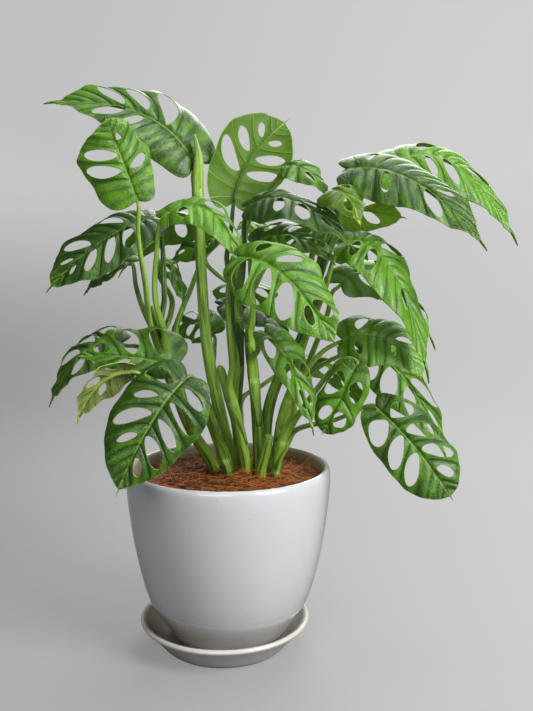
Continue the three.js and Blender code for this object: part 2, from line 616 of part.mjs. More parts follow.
// A petiole starts beside its stem, runs along it for the length of its sheath, then passes
// through the points of `via` and ends under the midrib.
function petioleGeometry(leaf) {
  const { middle, along, radius } = stemAt(STEMS[leaf.stem], leaf.from);
  const out = vec(leaf.via[0]).sub(middle);
  out.addScaledVector(along, -out.dot(along)).normalize();
  const start = middle.addScaledVector(out, radius + PETIOLE_RADII[0] + SEAT_GAP);
  const parting = start.clone().addScaledVector(along, SHEATH_LENGTH).addScaledVector(out, 1.5);
  const midrib = midribOf(leaf);
  const neck = frameAt(leaf, midrib, 0);
  const end = frameAt(leaf, midrib, FIRST_VEIN);
  const points = [
    start, parting, ...leaf.via.map(vec),
    neck.middle.addScaledVector(neck.along, -3).addScaledVector(neck.up, -1.5),
    end.middle.addScaledVector(end.up, -1),
  ];
  const path = new THREE.CatmullRomCurve3(points, false, 'centripetal');
  return tube(path, PETIOLE_SHARES, PETIOLE_RADII, PETIOLE_SIDES, out.negate());
}

const leafGeometry = (leaf) => geometryFrom(
  manifoldOf(bladeGeometry(leaf)).add(manifoldOf(petioleGeometry(leaf))),
);

// Scene ----------------------------------------------------------------------

const finish = (color, roughness) => new THREE.MeshStandardMaterial({ color, roughness });

const glazed = finish(COLOURS.glaze, 0.15);
const saucerGlaze = finish(COLOURS.saucer, 0.3);
const coir = finish(COLOURS.coir, 0.95);
const stemSkin = finish(COLOURS.stem, 0.5);

const group = new THREE.Group();

function addPiece(name, geometry, material) {
  const mesh = new THREE.Mesh(geometry, material);
  mesh.name = name;
  group.add(mesh);
}

addPiece('saucer', saucerGeometry(), saucerGlaze);
addPiece('pot', potGeometry(), glazed);
addPiece('coir', coirGeometry(), coir);
for (const [name, stem] of Object.entries(STEMS)) {
  addPiece(name, stemGeometry(stem), stemSkin);
}
for (const leaf of LEAVES) {
  addPiece(leaf.name, leafGeometry(leaf), finish(COLOURS[leaf.colour], 0.4));
}

export default group;
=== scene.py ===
"""Finish of a Swiss cheese plant (Monstera adansonii) in a glazed pot on its saucer.

The solid model is loaded as the fixed frame, and a finer piece then stands for each of its
nodes: cut leaves with veins and petioles, fluted stems, coir fibre, and the glazed ware.
The tables are in millimetres, as the model's own sizes are, and Blender works in metres.
"""

import bisect
import math
import random
from dataclasses import dataclass

import bpy
from bpy.props import FloatProperty, FloatVectorProperty, PointerProperty
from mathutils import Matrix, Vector, noise


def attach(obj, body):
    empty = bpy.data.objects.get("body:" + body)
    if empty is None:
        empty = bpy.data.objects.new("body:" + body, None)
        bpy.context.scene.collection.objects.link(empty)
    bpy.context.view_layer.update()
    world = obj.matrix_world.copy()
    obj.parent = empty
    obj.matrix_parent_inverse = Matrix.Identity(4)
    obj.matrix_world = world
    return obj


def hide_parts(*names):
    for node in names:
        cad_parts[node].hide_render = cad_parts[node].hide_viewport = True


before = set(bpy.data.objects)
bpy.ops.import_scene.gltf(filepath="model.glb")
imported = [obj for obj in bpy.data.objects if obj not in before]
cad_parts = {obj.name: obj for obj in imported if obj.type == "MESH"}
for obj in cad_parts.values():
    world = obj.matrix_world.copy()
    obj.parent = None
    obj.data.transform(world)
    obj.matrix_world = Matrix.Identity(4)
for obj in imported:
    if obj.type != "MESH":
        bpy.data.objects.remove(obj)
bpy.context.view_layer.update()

bl_info = {
    "name": "Potted Swiss cheese plant",
    "version": (1, 0, 0),
    "blender": (4, 5, 0),
    "location": "3D View > Sidebar > Plant",
    "description": "Grows the leaves, stems, coir and glazed pot round the packed model",
    "category": "Add Mesh",
}

MM = 0.001
BODY = "root"

# Driving sizes, in millimetres ----------------------------------------------------

POT_OUTSIDE = [
    (44, 5.8), (51.5, 16), (57, 25), (65.5, 39), (71.3, 54), (80.5, 97),
    (85, 149), (83.6, 153), (81.6, 154),
]
POT_INSIDE = [(79.2, 152), (78.5, 140), (74.6, 97), (65.4, 54), (51, 25), (40, 13)]
POT_UNDERSIDE = [(7, 13), (7, 7.3), (40, 7.3), (41, 5.8)]
POT_LIP = 6                     # the point of the outside at which the lip starts
POT_STEPS = 7                   # finer steps from one listed point to the next
POT_STEP_HEIGHT = 43            # faint step in the glaze above the foot
POT_STEP_SOFTNESS = 0.6
POT_STEP = 0.35
POT_STEP_FROM = 50              # the step spares the foot ring, which is narrower than this
POT_SIDES = 160
POT_WOBBLE = (0.35, 0.02)       # height and fineness of the hand-thrown unevenness

SAUCER_PROFILE = [
    (51, 0), (53, 1.5), (63, 13), (68.6, 18.5), (71.5, 21.8),
    (70.2, 24), (67.4, 23.6), (64.6, 20), (51, 5.5),
]
SAUCER_WELL = [(34, 5.3), (0, 5.2)]
SAUCER_OFFSET = Vector((-3.8, 0, 0))
SAUCER_STEPS = 6
SAUCER_SIDES = 144
SAUCER_WOBBLE = (0.3, 0.03)

COIR_WALL = [(39.4, 13.3), (50.7, 25), (65.1, 54), (74.3, 97), (78.2, 141)]
COIR_HUMP = 4
COIR_ROUGHNESS = 2.4
COIR_HOLLOWS = (1.3, 0.035)     # share of the roughness, and fineness
COIR_CRUMBS = (0.5, 0.16)
COIR_CALM = 0.6                 # share of the roughness that dies out at the wall
COIR_CALM_FROM = 0.85
BED_GRID = (44, 120)            # rings and sides of the coir's top
COVER_GRID = (30, 90)           # the same for the ground that fibres lie on
WALL_GAP = 0.4                  # how far the fibres keep from the pot's wall

FIBRE_POINTS = 8
FIBRE_SIDES = 3
FIBRE_LENGTHS = (0.45, 1.4)     # shortest and longest fibre, as shares of the usual length
FIBRE_RADII = (0.6, 0.8)        # least radius of a fibre, and how much it may be more
FIBRE_RISE = (0.5, 0.5, 0.42)   # the middle of the noise that bends a fibre, lower to lift it
FIBRE_LEVEL = 0.5               # its bend up and down, against the bend to the sides
FIBRE_DRIFT = 80                # how far apart in that noise the darkest and lightest lie
# The kinds of loose fibre: name, finish, length and radius against the usual ones, how much
# lighter they are, and how the tree strews them, per square metre, in metres and radians
FIBRE_KINDS = (
    ("coir_fibres", "coir fibre", 1, 1, 0,
     {"density": 190000.0, "bend": 0.012, "bend_scale": 70.0, "tilt": 0.42, "seed": 3}),
    ("coir_strands", "coir strand", 3, 0.8, 0.35,
     {"density": 9000.0, "bend": 0.044, "bend_scale": 30.0, "tilt": 0.24, "seed": 11}),
)

STEM_FOOT = 116
STEM_UPRIGHT = 0.6              # share of the way to its first point that a stem is upright
STEM_STEPS = 6                  # straight stretches of the model's stems
PETIOLE_SHARES = (0, 0.14, 0.3, 0.48, 0.66, 0.85, 1)
PETIOLE_RADII = (3.2, 2.8, 2.4, 2.1, 1.8, 1.5, 1.1)
PETIOLE_RINGS = 46
PETIOLE_HALF = 10               # corners on the outer half of a petiole, and on its inner half
PETIOLE_GROOVE = 0.16           # depth of the groove along its upper side
PETIOLE_GROOVE_HALF = 0.5       # half its width, in radians
PETIOLE_FLUTE = 0.05            # depth of the five flutes round it
NECK_BACK = 3                   # the last bend of a petiole is this far before the blade
NECK_DROP = 1.5                 # and this far below it
SEAT_GAP = 0.3                  # the model's petioles start this far from their stems
PARTING_GAP = 1.5               # how far a petiole leans out at the end of its sheath
SHEATH_LENGTH = 12
SHEATH_DROP = 46                # how far a sheath runs down its stem below the petiole
SHEATH_RINGS = 9
SHEATH_PARTING = (3, 24)        # where a petiole starts to leave its stem, and where it is free
SHEATH_REACH = (24, 112)        # degrees to each side, at the sheath's foot and at its top
SHEATH_THICKNESS = (0.25, 2)    # over the stem's skin, at the foot and at the top
SHEATH_WIDEST = -4              # where it reaches furthest round, from the petiole's start
SHEATH_THICKEST = 4
SHEATH_ROUNDING = 1.45          # the angle whose cosine its thickness ends with at the sides
SHEATH_SKIN = 0.15              # how deep a sheath's inner side lies in the stem

STEM_RINGS = 84
STEM_SIDES = 24
STEM_FLUTES = (0.05, 0.045)     # depth of the two broad and the five fine flutes
STEM_NODE = (0.1, 0.012)        # how far a ring stands out, and how long it is, as shares
STEM_NODE_DROP = 2              # how far it lies below the start of its petiole
STEM_CLOSE = (0.97, 1.01)       # the stretch over which the top of a stem rounds off
STEM_CLOSED = 0.002             # the share of its section that is left at the end
STEM_TONES = (0.25, 0.75)       # from dark to light, drawn for each stem
YOUNG_SHEATH = ((0, 0, -26), (0, 0, -6), (0.5, -1, 16), (-2.5, -2, 33))
YOUNG_SHEATH_RADIUS = 4.6
YOUNG_SHEATH_ROLL = 0.14        # how far the rolled edge stands out
YOUNG_SHEATH_BELLY = 0.25
YOUNG_SHEATH_TAPER = 0.6
YOUNG_SHEATH_TIP = 0.25         # radius at the point
YOUNG_SHEATH_RINGS = 24
YOUNG_SHEATH_SIDES = 16
YOUNG_SHEATH_DRY = 0.35         # how much of the sheath's browner finish it has

MIDRIB_RADII = (1.45, 0.3)
MIDRIB_TAPER = 0.8
MIDRIB_SINK = 0.85              # how far below the skin its middle lies, in radii
MIDRIB_REACH = 0.96             # share of the blade that the midrib runs along
MIDRIB_RINGS = 20
MIDRIB_SIDES = 8
MIDRIB_STEPS = 24               # straight steps that measure the length of a blade

BASE_POWER = 0.5                # how round a blade's outline is at the base
TIP_POWER = 1.6
LOBE_SETBACK = 0.12
LOBE_PLACE = 0.05
VEIN_SWEEP = 0.85
VEIN_BEND = 1.3
FIRST_VEIN = 0.07
LAST_VEIN = 0.86

PUFF_SHARE = 0.12               # how far the blade swells between two veins, per vein gap
PUFF_MOST = 2.1
PUFF_ROUND = 0.6                # how soon it rises beside a vein, the lower the sooner
PUFF_FULL = 0.12                # how far out from the midrib it has its full height
PUFF_FADE = 0.6                 # how much of it is gone at the margin
PUFF_FADE_FROM = 0.8
MARGIN_WAVE = 1.5
MARGIN_WAVES = 2.6              # waves up and down along a side
MARGIN_WAVE_OVERTONE = (0.5, 2.3, 1)    # strength, pitch and shift of the faster wave on it
MARGIN_UNEVEN = 0.035           # how far the outline strays in and out, as a share of a half
MARGIN_BAYS = 2.3               # bays in and out along a side
MARGIN_BAY_OVERTONE = (0.25, 2.7)
RIB_GROOVE = 0.5
RIB_GROOVE_HALF = 1.8

BASE_ROWS = (0, 0.003, 0.008, 0.016, 0.028, 0.045, FIRST_VEIN)
TIP_ROWS = (LAST_VEIN, 0.877, 0.895, 0.912, 0.93, 0.945, 0.96, 0.975, 0.99, 1.005, 1.02, 1.034,
            1.045, 1.05)
TIP_END = TIP_ROWS[-1]          # a thin drip tip runs on past the end of the blade
TIP_STRIP = 0.75                # half its width
TIP_STRIP_RISE = (0.86, 0.96)
TIP_STRIP_FALL = (0.97, TIP_END)
OUT_STEPS = (0, 0.02, 0.06, 0.12, 0.2, 0.3, 0.4, 0.5, 0.6, 0.7, 0.8, 0.88, 0.94, 0.98, 1)
CELL_STEPS = 10
HOLE_RINGS = (0, 0.1, 0.3, 0.55, 0.8, 0.94, 1)
HOLE_WIDTH = (0.06, 0.26)       # half a hole's share of its cell: the least, and more by its size
HOLE_LENGTH = (0.12, 0.27)
HOLE_MIDDLE = (0.4, 0.08)       # how far out it sits: the least, and more by its size
HOLE_EGG = 0.14                 # how much wider it is towards the margin
HOLE_POINT = 0.25               # how pointed its ends are, 0 for a plain oval
HOLE_WIDTHS = (0.92, 1.06)      # how its width and length differ from hole to hole
HOLE_LENGTHS = (0.9, 1)
HOLE_SHIFT = 0.02               # how far it may sit in or out
HOLE_LEAN = 0.2                 # how far it may lean, as a share of half its width


@dataclass
class Stem:
    """The points of a stem's centre line from the coir up, and its radius at each end."""

    points: tuple
    radii: tuple


@dataclass
class Leaf:
    """A leaf. The midrib passes through base, bend and tip.

    The petiole leaves its stem at the height start and passes through the points of via.
    face is the way the upper side looks at the base and at the tip, half the width of each
    side, fold the rise of the sides in degrees, and curl their turn down in radians. holes
    gives the size of the hole in each cell between two side veins, 0 for a whole cell.
    taper tells how pointed the tip is, and tone runs from a dark leaf at 0 to a light one at 1,
    partly its own green and partly painted light and shade.
    """

    name: str
    stem: str
    start: float
    via: tuple
    base: tuple
    bend: tuple
    tip: tuple
    face: tuple
    half: tuple
    fold: float
    curl: float
    holes: tuple
    kind: str = "leaf"
    taper: float = TIP_POWER
    tone: float = 0.5


STEMS = {
    "stem_left": Stem(
        ((-14, 12, 150), (-31, 2, 183), (-45, -10, 233), (-55, -18, 268), (-59, -20, 288)), (6, 3)),
    "stem_side": Stem(
        ((0, -5, 150), (-10, -14, 186), (-18, -22, 216)), (5.6, 2.8)),
    "stem_front": Stem(
        ((15, 2, 150), (8, -6, 187), (1, -12, 213), (-6, -20, 240)), (6.6, 3.4)),
    "stem_tall": Stem(
        ((2, 13, 150), (-6, 8, 190), (-17, 4, 250), (-22, 6, 316), (-24, 8, 392)), (6.6, 4)),
    "stem_middle": Stem(
        ((14, 19, 150), (6, 16, 190), (9, 12, 240), (6, 10, 290), (4, 10, 328)), (6.6, 3)),
    "stem_centre": Stem(
        ((26, 11, 150), (24, 6, 190), (20, 2, 236), (17, 0, 268)), (6.8, 3)),
    "stem_right": Stem(
        ((30, 25, 150), (33, 18, 195), (43, 6, 228), (62, -2, 262), (71, -6, 300), (80, -8, 350)),
        (6.8, 3)),
    "stem_low": Stem(
        ((40, 14, 150), (44, 12, 187), (53, 6, 214), (61, -2, 232)), (5.6, 2.8)),
    "stem_outer": Stem(
        ((38, -1, 150), (46, -6, 178), (58, -10, 201)), (4.4, 2.4)),
    "stem_cut": Stem(
        ((27, -6, 150), (31, -7, 166), (34, -8, 181)), (4.8, 4)),
    "stem_back": Stem(
        ((8, 35, 150), (4, 40, 210), (4, 46, 262), (10, 52, 300)), (5.4, 3.4)),
}

# Each leaf's tone is partly its own green and partly painted light and shade, set lighter or darker
# for how the leaf is lit
LEAVES = (
    Leaf("leaf_left_top", "stem_tall", 378, ((-30, 16, 393),),
         (-28, 12, 404), (-68, 3, 440), (-136, -6, 447), ((0.2, -0.8, 0.6), (-0.1, -0.7, 0.7)),
         (32, 38), 14, 0.9, ((0, 0, 0.7, 1.1, 0), (0, 1.1, 0.9, 1, 0)), tone=0.4),
    Leaf("leaf_left_small", "stem_left", 232, ((-60, -28, 276), (-61, -42, 305), (-64, -54, 343)),
         (-64, -56, 368), (-76, -46, 398), (-86, -56, 426), ((0.1, -1, 0.1), (0.2, -0.9, 0.5)),
         (32, 22), 10, 0.9, ((0, 1.1, 1.1, 0), (0, 0.8, 0, 0.9)), taper=0.95, tone=0.7),
    Leaf("leaf_left_middle", "stem_left", 262, ((-50, -16, 299), (-52, -8, 336)),
         (-58, -11, 357), (-92, -28, 341), (-133, -40, 304), ((-0.1, -0.5, 0.9), (-0.4, -0.8, 0.5)),
         (32, 35), 12, 0.8, ((0, 1, 0.9, 0.8, 0.4), (0, 1, 0, 1, 0.4)), taper=1.2, tone=0.25),
    Leaf("leaf_left_behind", "stem_left", 240, ((-70, 2, 285), (-77, 12, 303)),
         (-83, 18, 322), (-102, 28, 317), (-124, 36, 296), ((0, -0.5, 0.9), (-0.4, -0.4, 0.8)),
         (20, 18), 12, 0.8, ((0.8, 0.4), (0, 0.8)), tone=0.35),
    Leaf("leaf_left_bright", "stem_left", 246, ((-55, -31, 293), (-53, -36, 328)),
         (-47, -38, 357), (-14, -42, 362), (10, -48, 326), ((0, -0.6, 0.8), (0.6, -0.7, 0.5)),
         (16, 19), 10, 0.8, ((0, 0.9, 0.7), (0.6, 0, 0)), taper=1.2, tone=0.8),
    Leaf("leaf_centre_dark", "stem_left", 222, ((-43, 2, 267), (-32, 14, 299), (-21, 27, 326)),
         (-9, 32, 343), (-27, 40, 336), (-52, 46, 320), ((0, -0.6, 0.8), (-0.3, -0.6, 0.7)),
         (15, 26), 10, 0.8, ((0.5, 0, 0), (0, 0.7, 0.5)), tone=0.7),
    Leaf("leaf_centre_hanging", "stem_left", 249, ((-47, 10, 291), (-58, 15, 311)),
         (-54, 8, 324), (-44, 6, 312), (-36, 0, 286), ((0.6, -0.4, 1.1), (1.5, -0.6, 0.6)),
         (12, 14), 10, 0.7, ((0.4, 0), (0.8, 0.6)), tone=0.55),
    Leaf("leaf_centre_top", "stem_middle", 300, ((-2, 18, 322), (2, 20, 349)),
         (4, 20, 371), (17, 28, 407), (47, 42, 440), ((-0.2, 0.95, 0.2), (-0.4, 0.7, -0.6)),
         (34, 32), 8, 0.7, ((0, 1, 0.9, 0.5), (0, 1.2, 0.8, 0.5)), kind="leaf_young",
         taper=0.95, tone=0.15),
    Leaf("leaf_centre_upper", "stem_middle", 282, ((13, -6, 322), (14, -14, 352)),
         (18, -20, 366), (54, -36, 368), (93, -66, 334), ((0, -0.5, 0.9), (0.3, -0.5, 0.8)),
         (19, 34), 12, 0.8, ((0.5, 0, 0.9, 0), (0, 0.8, 1, 0.6)), tone=0.1),
    Leaf("leaf_front", "stem_front", 214, ((2, -36, 278), (3, -50, 305)),
         (11, -62, 326), (44, -84, 313), (79, -96, 267), ((-0.1, -0.7, 0.7), (0.2, -0.9, 0.4)),
         (28, 34), 10, 0.8, ((0.5, 0.6, 0, 0.9), (1.2, 1.2, 1.2, 0.6)), taper=1.3, tone=0.65),
    Leaf("leaf_front_hanging", "stem_centre", 232, ((25, -30, 254), (25, -48, 267)),
         (30, -58, 270), (49, -70, 246), (65, -78, 201), ((0.4, -0.7, 0.5), (0.7, -0.7, 0.1)),
         (21, 15), 12, 0.8, ((0, 0.9, 0.6), (0.9, 0.5, 0.9)), tone=0.55),
    Leaf("leaf_centre_shade", "stem_centre", 250, ((10, 27, 261),),
         (-7, 32, 285), (21, 33, 282), (52, 30, 258), ((0.2, -0.5, 1.2), (0.6, -0.4, 1.2)),
         (19, 27), 12, 0.8, ((0.35, 0.8), (0.6, 0)), tone=0.3),
    Leaf("leaf_centre_wide", "stem_centre", 262, ((19, -10, 318),),
         (22, -25, 336), (50, -36, 342), (81, -46, 323), ((0, -0.64, 0.77), (0.3, -0.55, 0.8)),
         (27, 20), 10, 0.8, ((0.6, 0.9, 0.7), (0, 0.7, 0.6)), tone=0.5),
    Leaf("leaf_centre_glow", "stem_back", 288, ((34, 53, 329),),
         (41, 46, 343), (24, 42, 351), (6, 36, 350), ((0.1, -0.6, 1.2), (0, -0.6, 1.2)),
         (16, 18), 8, 0.7, ((0, 0.7), (0.42, 0)), kind="leaf_young", tone=0.95),
    Leaf("leaf_right_top", "stem_right", 332, ((89, -8, 375),),
         (95, -20, 394), (142, -38, 384), (188, -66, 337), ((0, -0.6, 0.8), (0.3, -0.7, 0.7)),
         (34, 34), 12, 0.9, ((0.4, 0, 0, 0.5, 0), (0, 0.7, 0, 1.2, 0)), tone=0.3),
    Leaf("leaf_right_high", "stem_right", 276, ((85, 20, 332), (108, 48, 371)),
         (128, 36, 398), (186, 42, 408), (243, 42, 346), ((0, -0.6, 0.8), (0.5, -0.6, 0.6)),
         (34, 36), 10, 1, ((0, 1.1, 0, 0.9, 0), (0, 0.7, 0.9, 0, 0)), tone=0.75),
    Leaf("leaf_right_backlit", "stem_right", 306, ((81, 8, 347),),
         (84, 16, 368), (114, 10, 365), (142, -2, 358), ((0, 0.7, 0.7), (0.2, 0.5, 0.8)),
         (24, 26), 8, 0.8, ((0, 0.9, 0), (0.7, 1, 0)), kind="leaf_young", tone=1.4),
    Leaf("leaf_right_round", "stem_right", 282, ((72, -20, 352), (73, -28, 368)),
         (78, -37, 375), (90, -53, 372), (100, -64, 350), ((0, -0.6, 0.8), (0.3, -0.8, 0.5)),
         (14, 20), 10, 0.9, ((0.4, 0), (0, 0.7)), kind="leaf_young", tone=0.25),
    Leaf("leaf_centre_right", "stem_middle", 306, ((16, 16, 353), (33, 12, 381)),
         (44, 6, 396), (59, -4, 397), (80, -14, 375), ((0, -0.5, 0.9), (0.3, -0.7, 0.6)),
         (16, 18), 10, 0.8, ((0.48, 0), (0, 0.6)), tone=0.55),
    Leaf("leaf_right_long", "stem_low", 214, ((63, -22, 261), (77, -34, 301), (84, -38, 326)),
         (93, -38, 338), (125, -52, 317), (150, -68, 243), ((0.2, -0.5, 0.8), (0.8, -0.5, 0.2)),
         (32, 32), 16, 1, ((0, 0.8, 0, 0, 0), (0.8, 1, 0, 0.6, 0)), tone=0.75),
    Leaf("leaf_right_under", "stem_low", 202, ((70, 4, 248), (82, -2, 282), (85, -6, 298)),
         (92, -8, 306), (130, 2, 311), (168, 4, 258), ((0, -0.5, 0.9), (0.6, -0.4, 0.6)),
         (28, 32), 12, 1, ((0, 0.8, 1.2, 1.1), (0.6, 0, 1, 0)), tone=1.1),
    Leaf("leaf_low_upper", "stem_outer", 188, ((63, -22, 235), (76, -28, 252)),
         (91, -32, 262), (125, -44, 263), (150, -54, 235), ((0, -0.7, 0.7), (0.4, -0.7, 0.6)),
         (28, 28), 12, 0.9, ((0.5, 0, 0.6, 0), (0.5, 0, 0.5, 0)), tone=1.1),
    Leaf("leaf_low_middle", "stem_low", 188, ((60, 6, 221), (84, -2, 242)),
         (108, -8, 251), (143, -12, 229), (176, -20, 167), ((0.2, -0.7, 0.6), (0.6, -0.7, 0.3)),
         (26, 30), 12, 0.9, ((0.88, 1.2, 1.2, 0.6), (1.1, 1.2, 1.2, 0.8)), tone=0.65),
    Leaf("leaf_low_outer", "stem_outer", 157, ((54, -8, 183), (87, -26, 197)),
         (117, -42, 210), (145, -54, 182), (172, -62, 145), ((0, -0.9, 0.4), (0, -0.9, 0.4)),
         (27, 28), 6, 0.6, ((1, 1.1, 1.1, 0.8), (1.2, 1.2, 1.2, 0)), taper=0.9, tone=0.4),
    Leaf("leaf_low_small", "stem_outer", 182, ((67, -38, 218), (91, -50, 249)),
         (99, -58, 245), (87, -62, 219), (75, -60, 194), ((-0.2, -0.95, 0.2), (-0.2, -0.95, 0.2)),
         (18, 17), 10, 0.7, ((0.77, 0.9), (0.99, 0.8)), taper=1, tone=0.6),
    Leaf("leaf_outer_left", "stem_left", 206, ((-57, -6, 244), (-72, -4, 253)),
         (-88, 2, 256), (-116, -4, 250), (-142, -16, 211), ((0, -0.5, 0.9), (-0.7, -0.5, 0.5)),
         (26, 30), 12, 0.9, ((0, 0.9, 1.2, 0.4), (1, 1.2, 1.1, 0)), tone=0.4),
    Leaf("leaf_left_green", "stem_side", 203, ((-27, -46, 228),),
         (-37, -57, 244), (-72, -57, 251), (-109, -56, 251), ((0, -0.8, 0.6), (-0.2, -0.7, 0.7)),
         (14, 36), 12, 0.9, ((0, 0.5, 0), (0.9, 1.2, 0.8)), tone=0.45),
    Leaf("leaf_left_pale", "stem_side", 188, ((-35, -34, 211), (-50, -64, 233)),
         (-69, -72, 243), (-90, -77, 234), (-106, -80, 208), ((0.1, 0.7, 0.6), (-0.5, 0.6, 0.6)),
         (14, 16), 8, 0.7, ((0.63, 0.9, 0), (0, 0.8, 0)), kind="leaf_old", tone=0.5),
    Leaf("leaf_front_low", "stem_side", 168, ((-19, -60, 225),),
         (-26, -78, 239), (-49, -96, 211), (-73, -106, 163), ((-0.1, -0.9, 0.4), (0, -1, 0.1)),
         (34, 34), 8, 0.8, ((0.8, 1, 0.9, 1.2, 0.7), (1.1, 0.5, 1.1, 0.5, 0)), taper=1.3, tone=0.25),
    Leaf("leaf_back_left", "stem_back", 286, ((-22, 62, 322),),
         (-25, 72, 348), (-59, 86, 357), (-103, 100, 314), ((0, 0.4, 0.9), (-0.5, 0.5, 0.7)),
         (34, 34), 12, 0.9, ((0, 0.9, 1, 0.7), (0.6, 1, 0, 0.8)), tone=0.8),
    Leaf("leaf_back_right", "stem_back", 276, ((30, 62, 317),),
         (46, 68, 340), (86, 88, 346), (132, 104, 302), ((0, 0.4, 0.9), (0.5, 0.5, 0.7)),
         (34, 34), 12, 0.9, ((0.6, 0, 1, 0.8), (0, 0.9, 1, 0)), tone=0.65),
    Leaf("leaf_back_middle", "stem_back", 256, ((13, 78, 282),),
         (14, 92, 300), (10, 122, 292), (4, 148, 250), ((0, 0.5, 0.9), (0, 0.9, 0.4)),
         (32, 32), 12, 0.9, ((0, 0.9, 1, 0), (0.8, 1, 0.8, 0)), tone=0.8),
    Leaf("leaf_back_low_left", "stem_back", 206, ((-15, 50, 218), (-15, 57, 243)),
         (-16, 60, 258), (-34, 62, 268), (-56, 66, 254), ((0, -0.6, 0.8), (-0.4, -0.6, 0.7)),
         (22, 24), 12, 0.9, ((0.8, 1, 0), (0, 0.9, 0.8)), tone=0.75),
    Leaf("leaf_back_low_right", "stem_back", 190, ((28, 52, 213),),
         (56, 58, 232), (90, 76, 226), (120, 90, 184), ((0, 0.4, 0.9), (0.6, 0.5, 0.6)),
         (28, 28), 12, 0.9, ((0, 1, 0.8), (0.8, 0.9, 0)), tone=0.85),
)


# Looks -----------------------------------------------------------------------------


def paint(red, green, blue):
    """A colour from its values of 0 to 255, as the linear light that a shader takes."""
    shares = (value / 255 for value in (red, green, blue))
    return tuple(c / 12.92 if c < 0.04 else ((c + 0.055) / 1.055) ** 2.4 for c in shares)


def colour_property(label, description, red, green, blue):
    return FloatVectorProperty(
        name=label, description=description, subtype="COLOR", size=3, min=0, max=1,
        default=paint(red, green, blue))


def length_property(label, description, millimetres):
    return FloatProperty(
        name=label, description=description, unit="LENGTH", min=0, default=millimetres * MM)


class PlantLooks(bpy.types.PropertyGroup):
    """The sizes and colours of the plant that a user may want to change."""

    leaf_thickness: length_property("Leaf thickness", "Thickness of a leaf blade", 0.55)
    leaf_dark: colour_property("Leaf, dark", "Shaded green of a leaf", 24, 62, 1)
    leaf_light: colour_property("Leaf, light", "Lit green of a leaf", 101, 160, 20)
    # A painted highlight: the pale sheen that a leaf's brightest streaks go over into
    leaf_painted_sheen: colour_property("Leaf sheen", "Palest streaks of a leaf", 160, 202, 134)
    leaf_vein: colour_property("Leaf veins", "Veins and rims", 140, 186, 66)
    leaf_under: colour_property("Leaf underside", "Duller underside", 96, 140, 52)
    leaf_glow: colour_property("Leaf glow", "Light through a leaf", 154, 188, 12)
    young_dark: colour_property("Young leaf, dark", "Deeper green", 56, 100, 6)
    young_light: colour_property("Young leaf, light", "Yellow green", 118, 158, 20)
    young_vein: colour_property("Young leaf veins", "Pale veins", 206, 226, 84)
    young_glow: colour_property("Young glow", "Light through a young leaf", 180, 210, 14)
    old_dark: colour_property("Old leaf, dark", "Olive of an old leaf", 92, 112, 50)
    old_light: colour_property("Old leaf, light", "Straw of an old leaf", 160, 178, 112)
    old_glow: colour_property("Old glow", "Light through an old leaf", 180, 190, 90)
    stem_dark: colour_property("Stem, dark", "Deep streaks of the stems", 34, 80, 8)
    stem_light: colour_property("Stem, light", "Light streaks", 156, 200, 70)
    stem_dry: colour_property("Stem, dry", "Dry skin of the sheaths", 116, 88, 42)
    glaze: colour_property("Pot glaze", "Grey-white glaze of the pot", 196, 198, 202)
    saucer: colour_property("Saucer glaze", "Warm white of the saucer", 206, 203, 198)
    stain: colour_property("Stains", "Beige water stains", 168, 150, 118)
    coir_dark: colour_property("Coir, dark", "Gaps between the fibres", 46, 21, 6)
    coir_light: colour_property("Coir, light", "Dry fibres", 222, 134, 58)
    fibre_length: length_property("Fibre length", "Usual length of a coir fibre", 17)
    fibre_radius: length_property("Fibre radius", "Radius of a coir fibre", 0.2)
    backdrop: colour_property("Backdrop", "Grey studio cove", 112, 112, 114)


# The finish of each kind of leaf: its name, its colours, how pale its veins are and how much
# light comes through
LEAF_FINISHES = {
    "leaf": (
        "leaf skin",
        ("leaf_dark", "leaf_light", "leaf_painted_sheen", "leaf_vein", "leaf_under", "leaf_glow"),
        0.2, 0.28),
    "leaf_young": (
        "young leaf skin",
        ("young_dark", "young_light", "leaf_painted_sheen", "young_vein", "leaf_under", "young_glow"),
        0.6, 0.42),
    "leaf_old": (
        "old leaf skin",
        ("old_dark", "old_light", "old_light", "young_vein", "old_dark", "old_glow"),
        0.4, 0.2),
}


# Curves ----------------------------------------------------------------------------


def lerp(start, stop, share):
    return start + (stop - start) * share


def smooth(low, high, value):
    """Rises from 0 at low to 1 at high, level at both ends."""
    share = min(max((value - low) / (high - low), 0), 1)
    return share * share * (3 - 2 * share)


def even_shares(steps):
    """Shares from 0 to 1 in even steps."""
    return [i / steps for i in range(steps + 1)]


def along_table(places, values, place):
    """The value at a place, straight between the listed ones."""
    after = min(max(bisect.bisect_right(places, place), 1), len(places) - 1)
    share = (place - places[after - 1]) / (places[after] - places[after - 1])
    return lerp(values[after - 1], values[after], share)


def square_to(vector, axis):
    """The part of a vector that is square to a unit axis, at length 1."""
    return (vector - axis * vector.dot(axis)).normalized()


def turns(sides):
    """The angle of each corner of a round ring, with its cosine and sine."""
    for side in range(sides):
        angle = math.tau * side / sides
        yield angle, math.cos(angle), math.sin(angle)


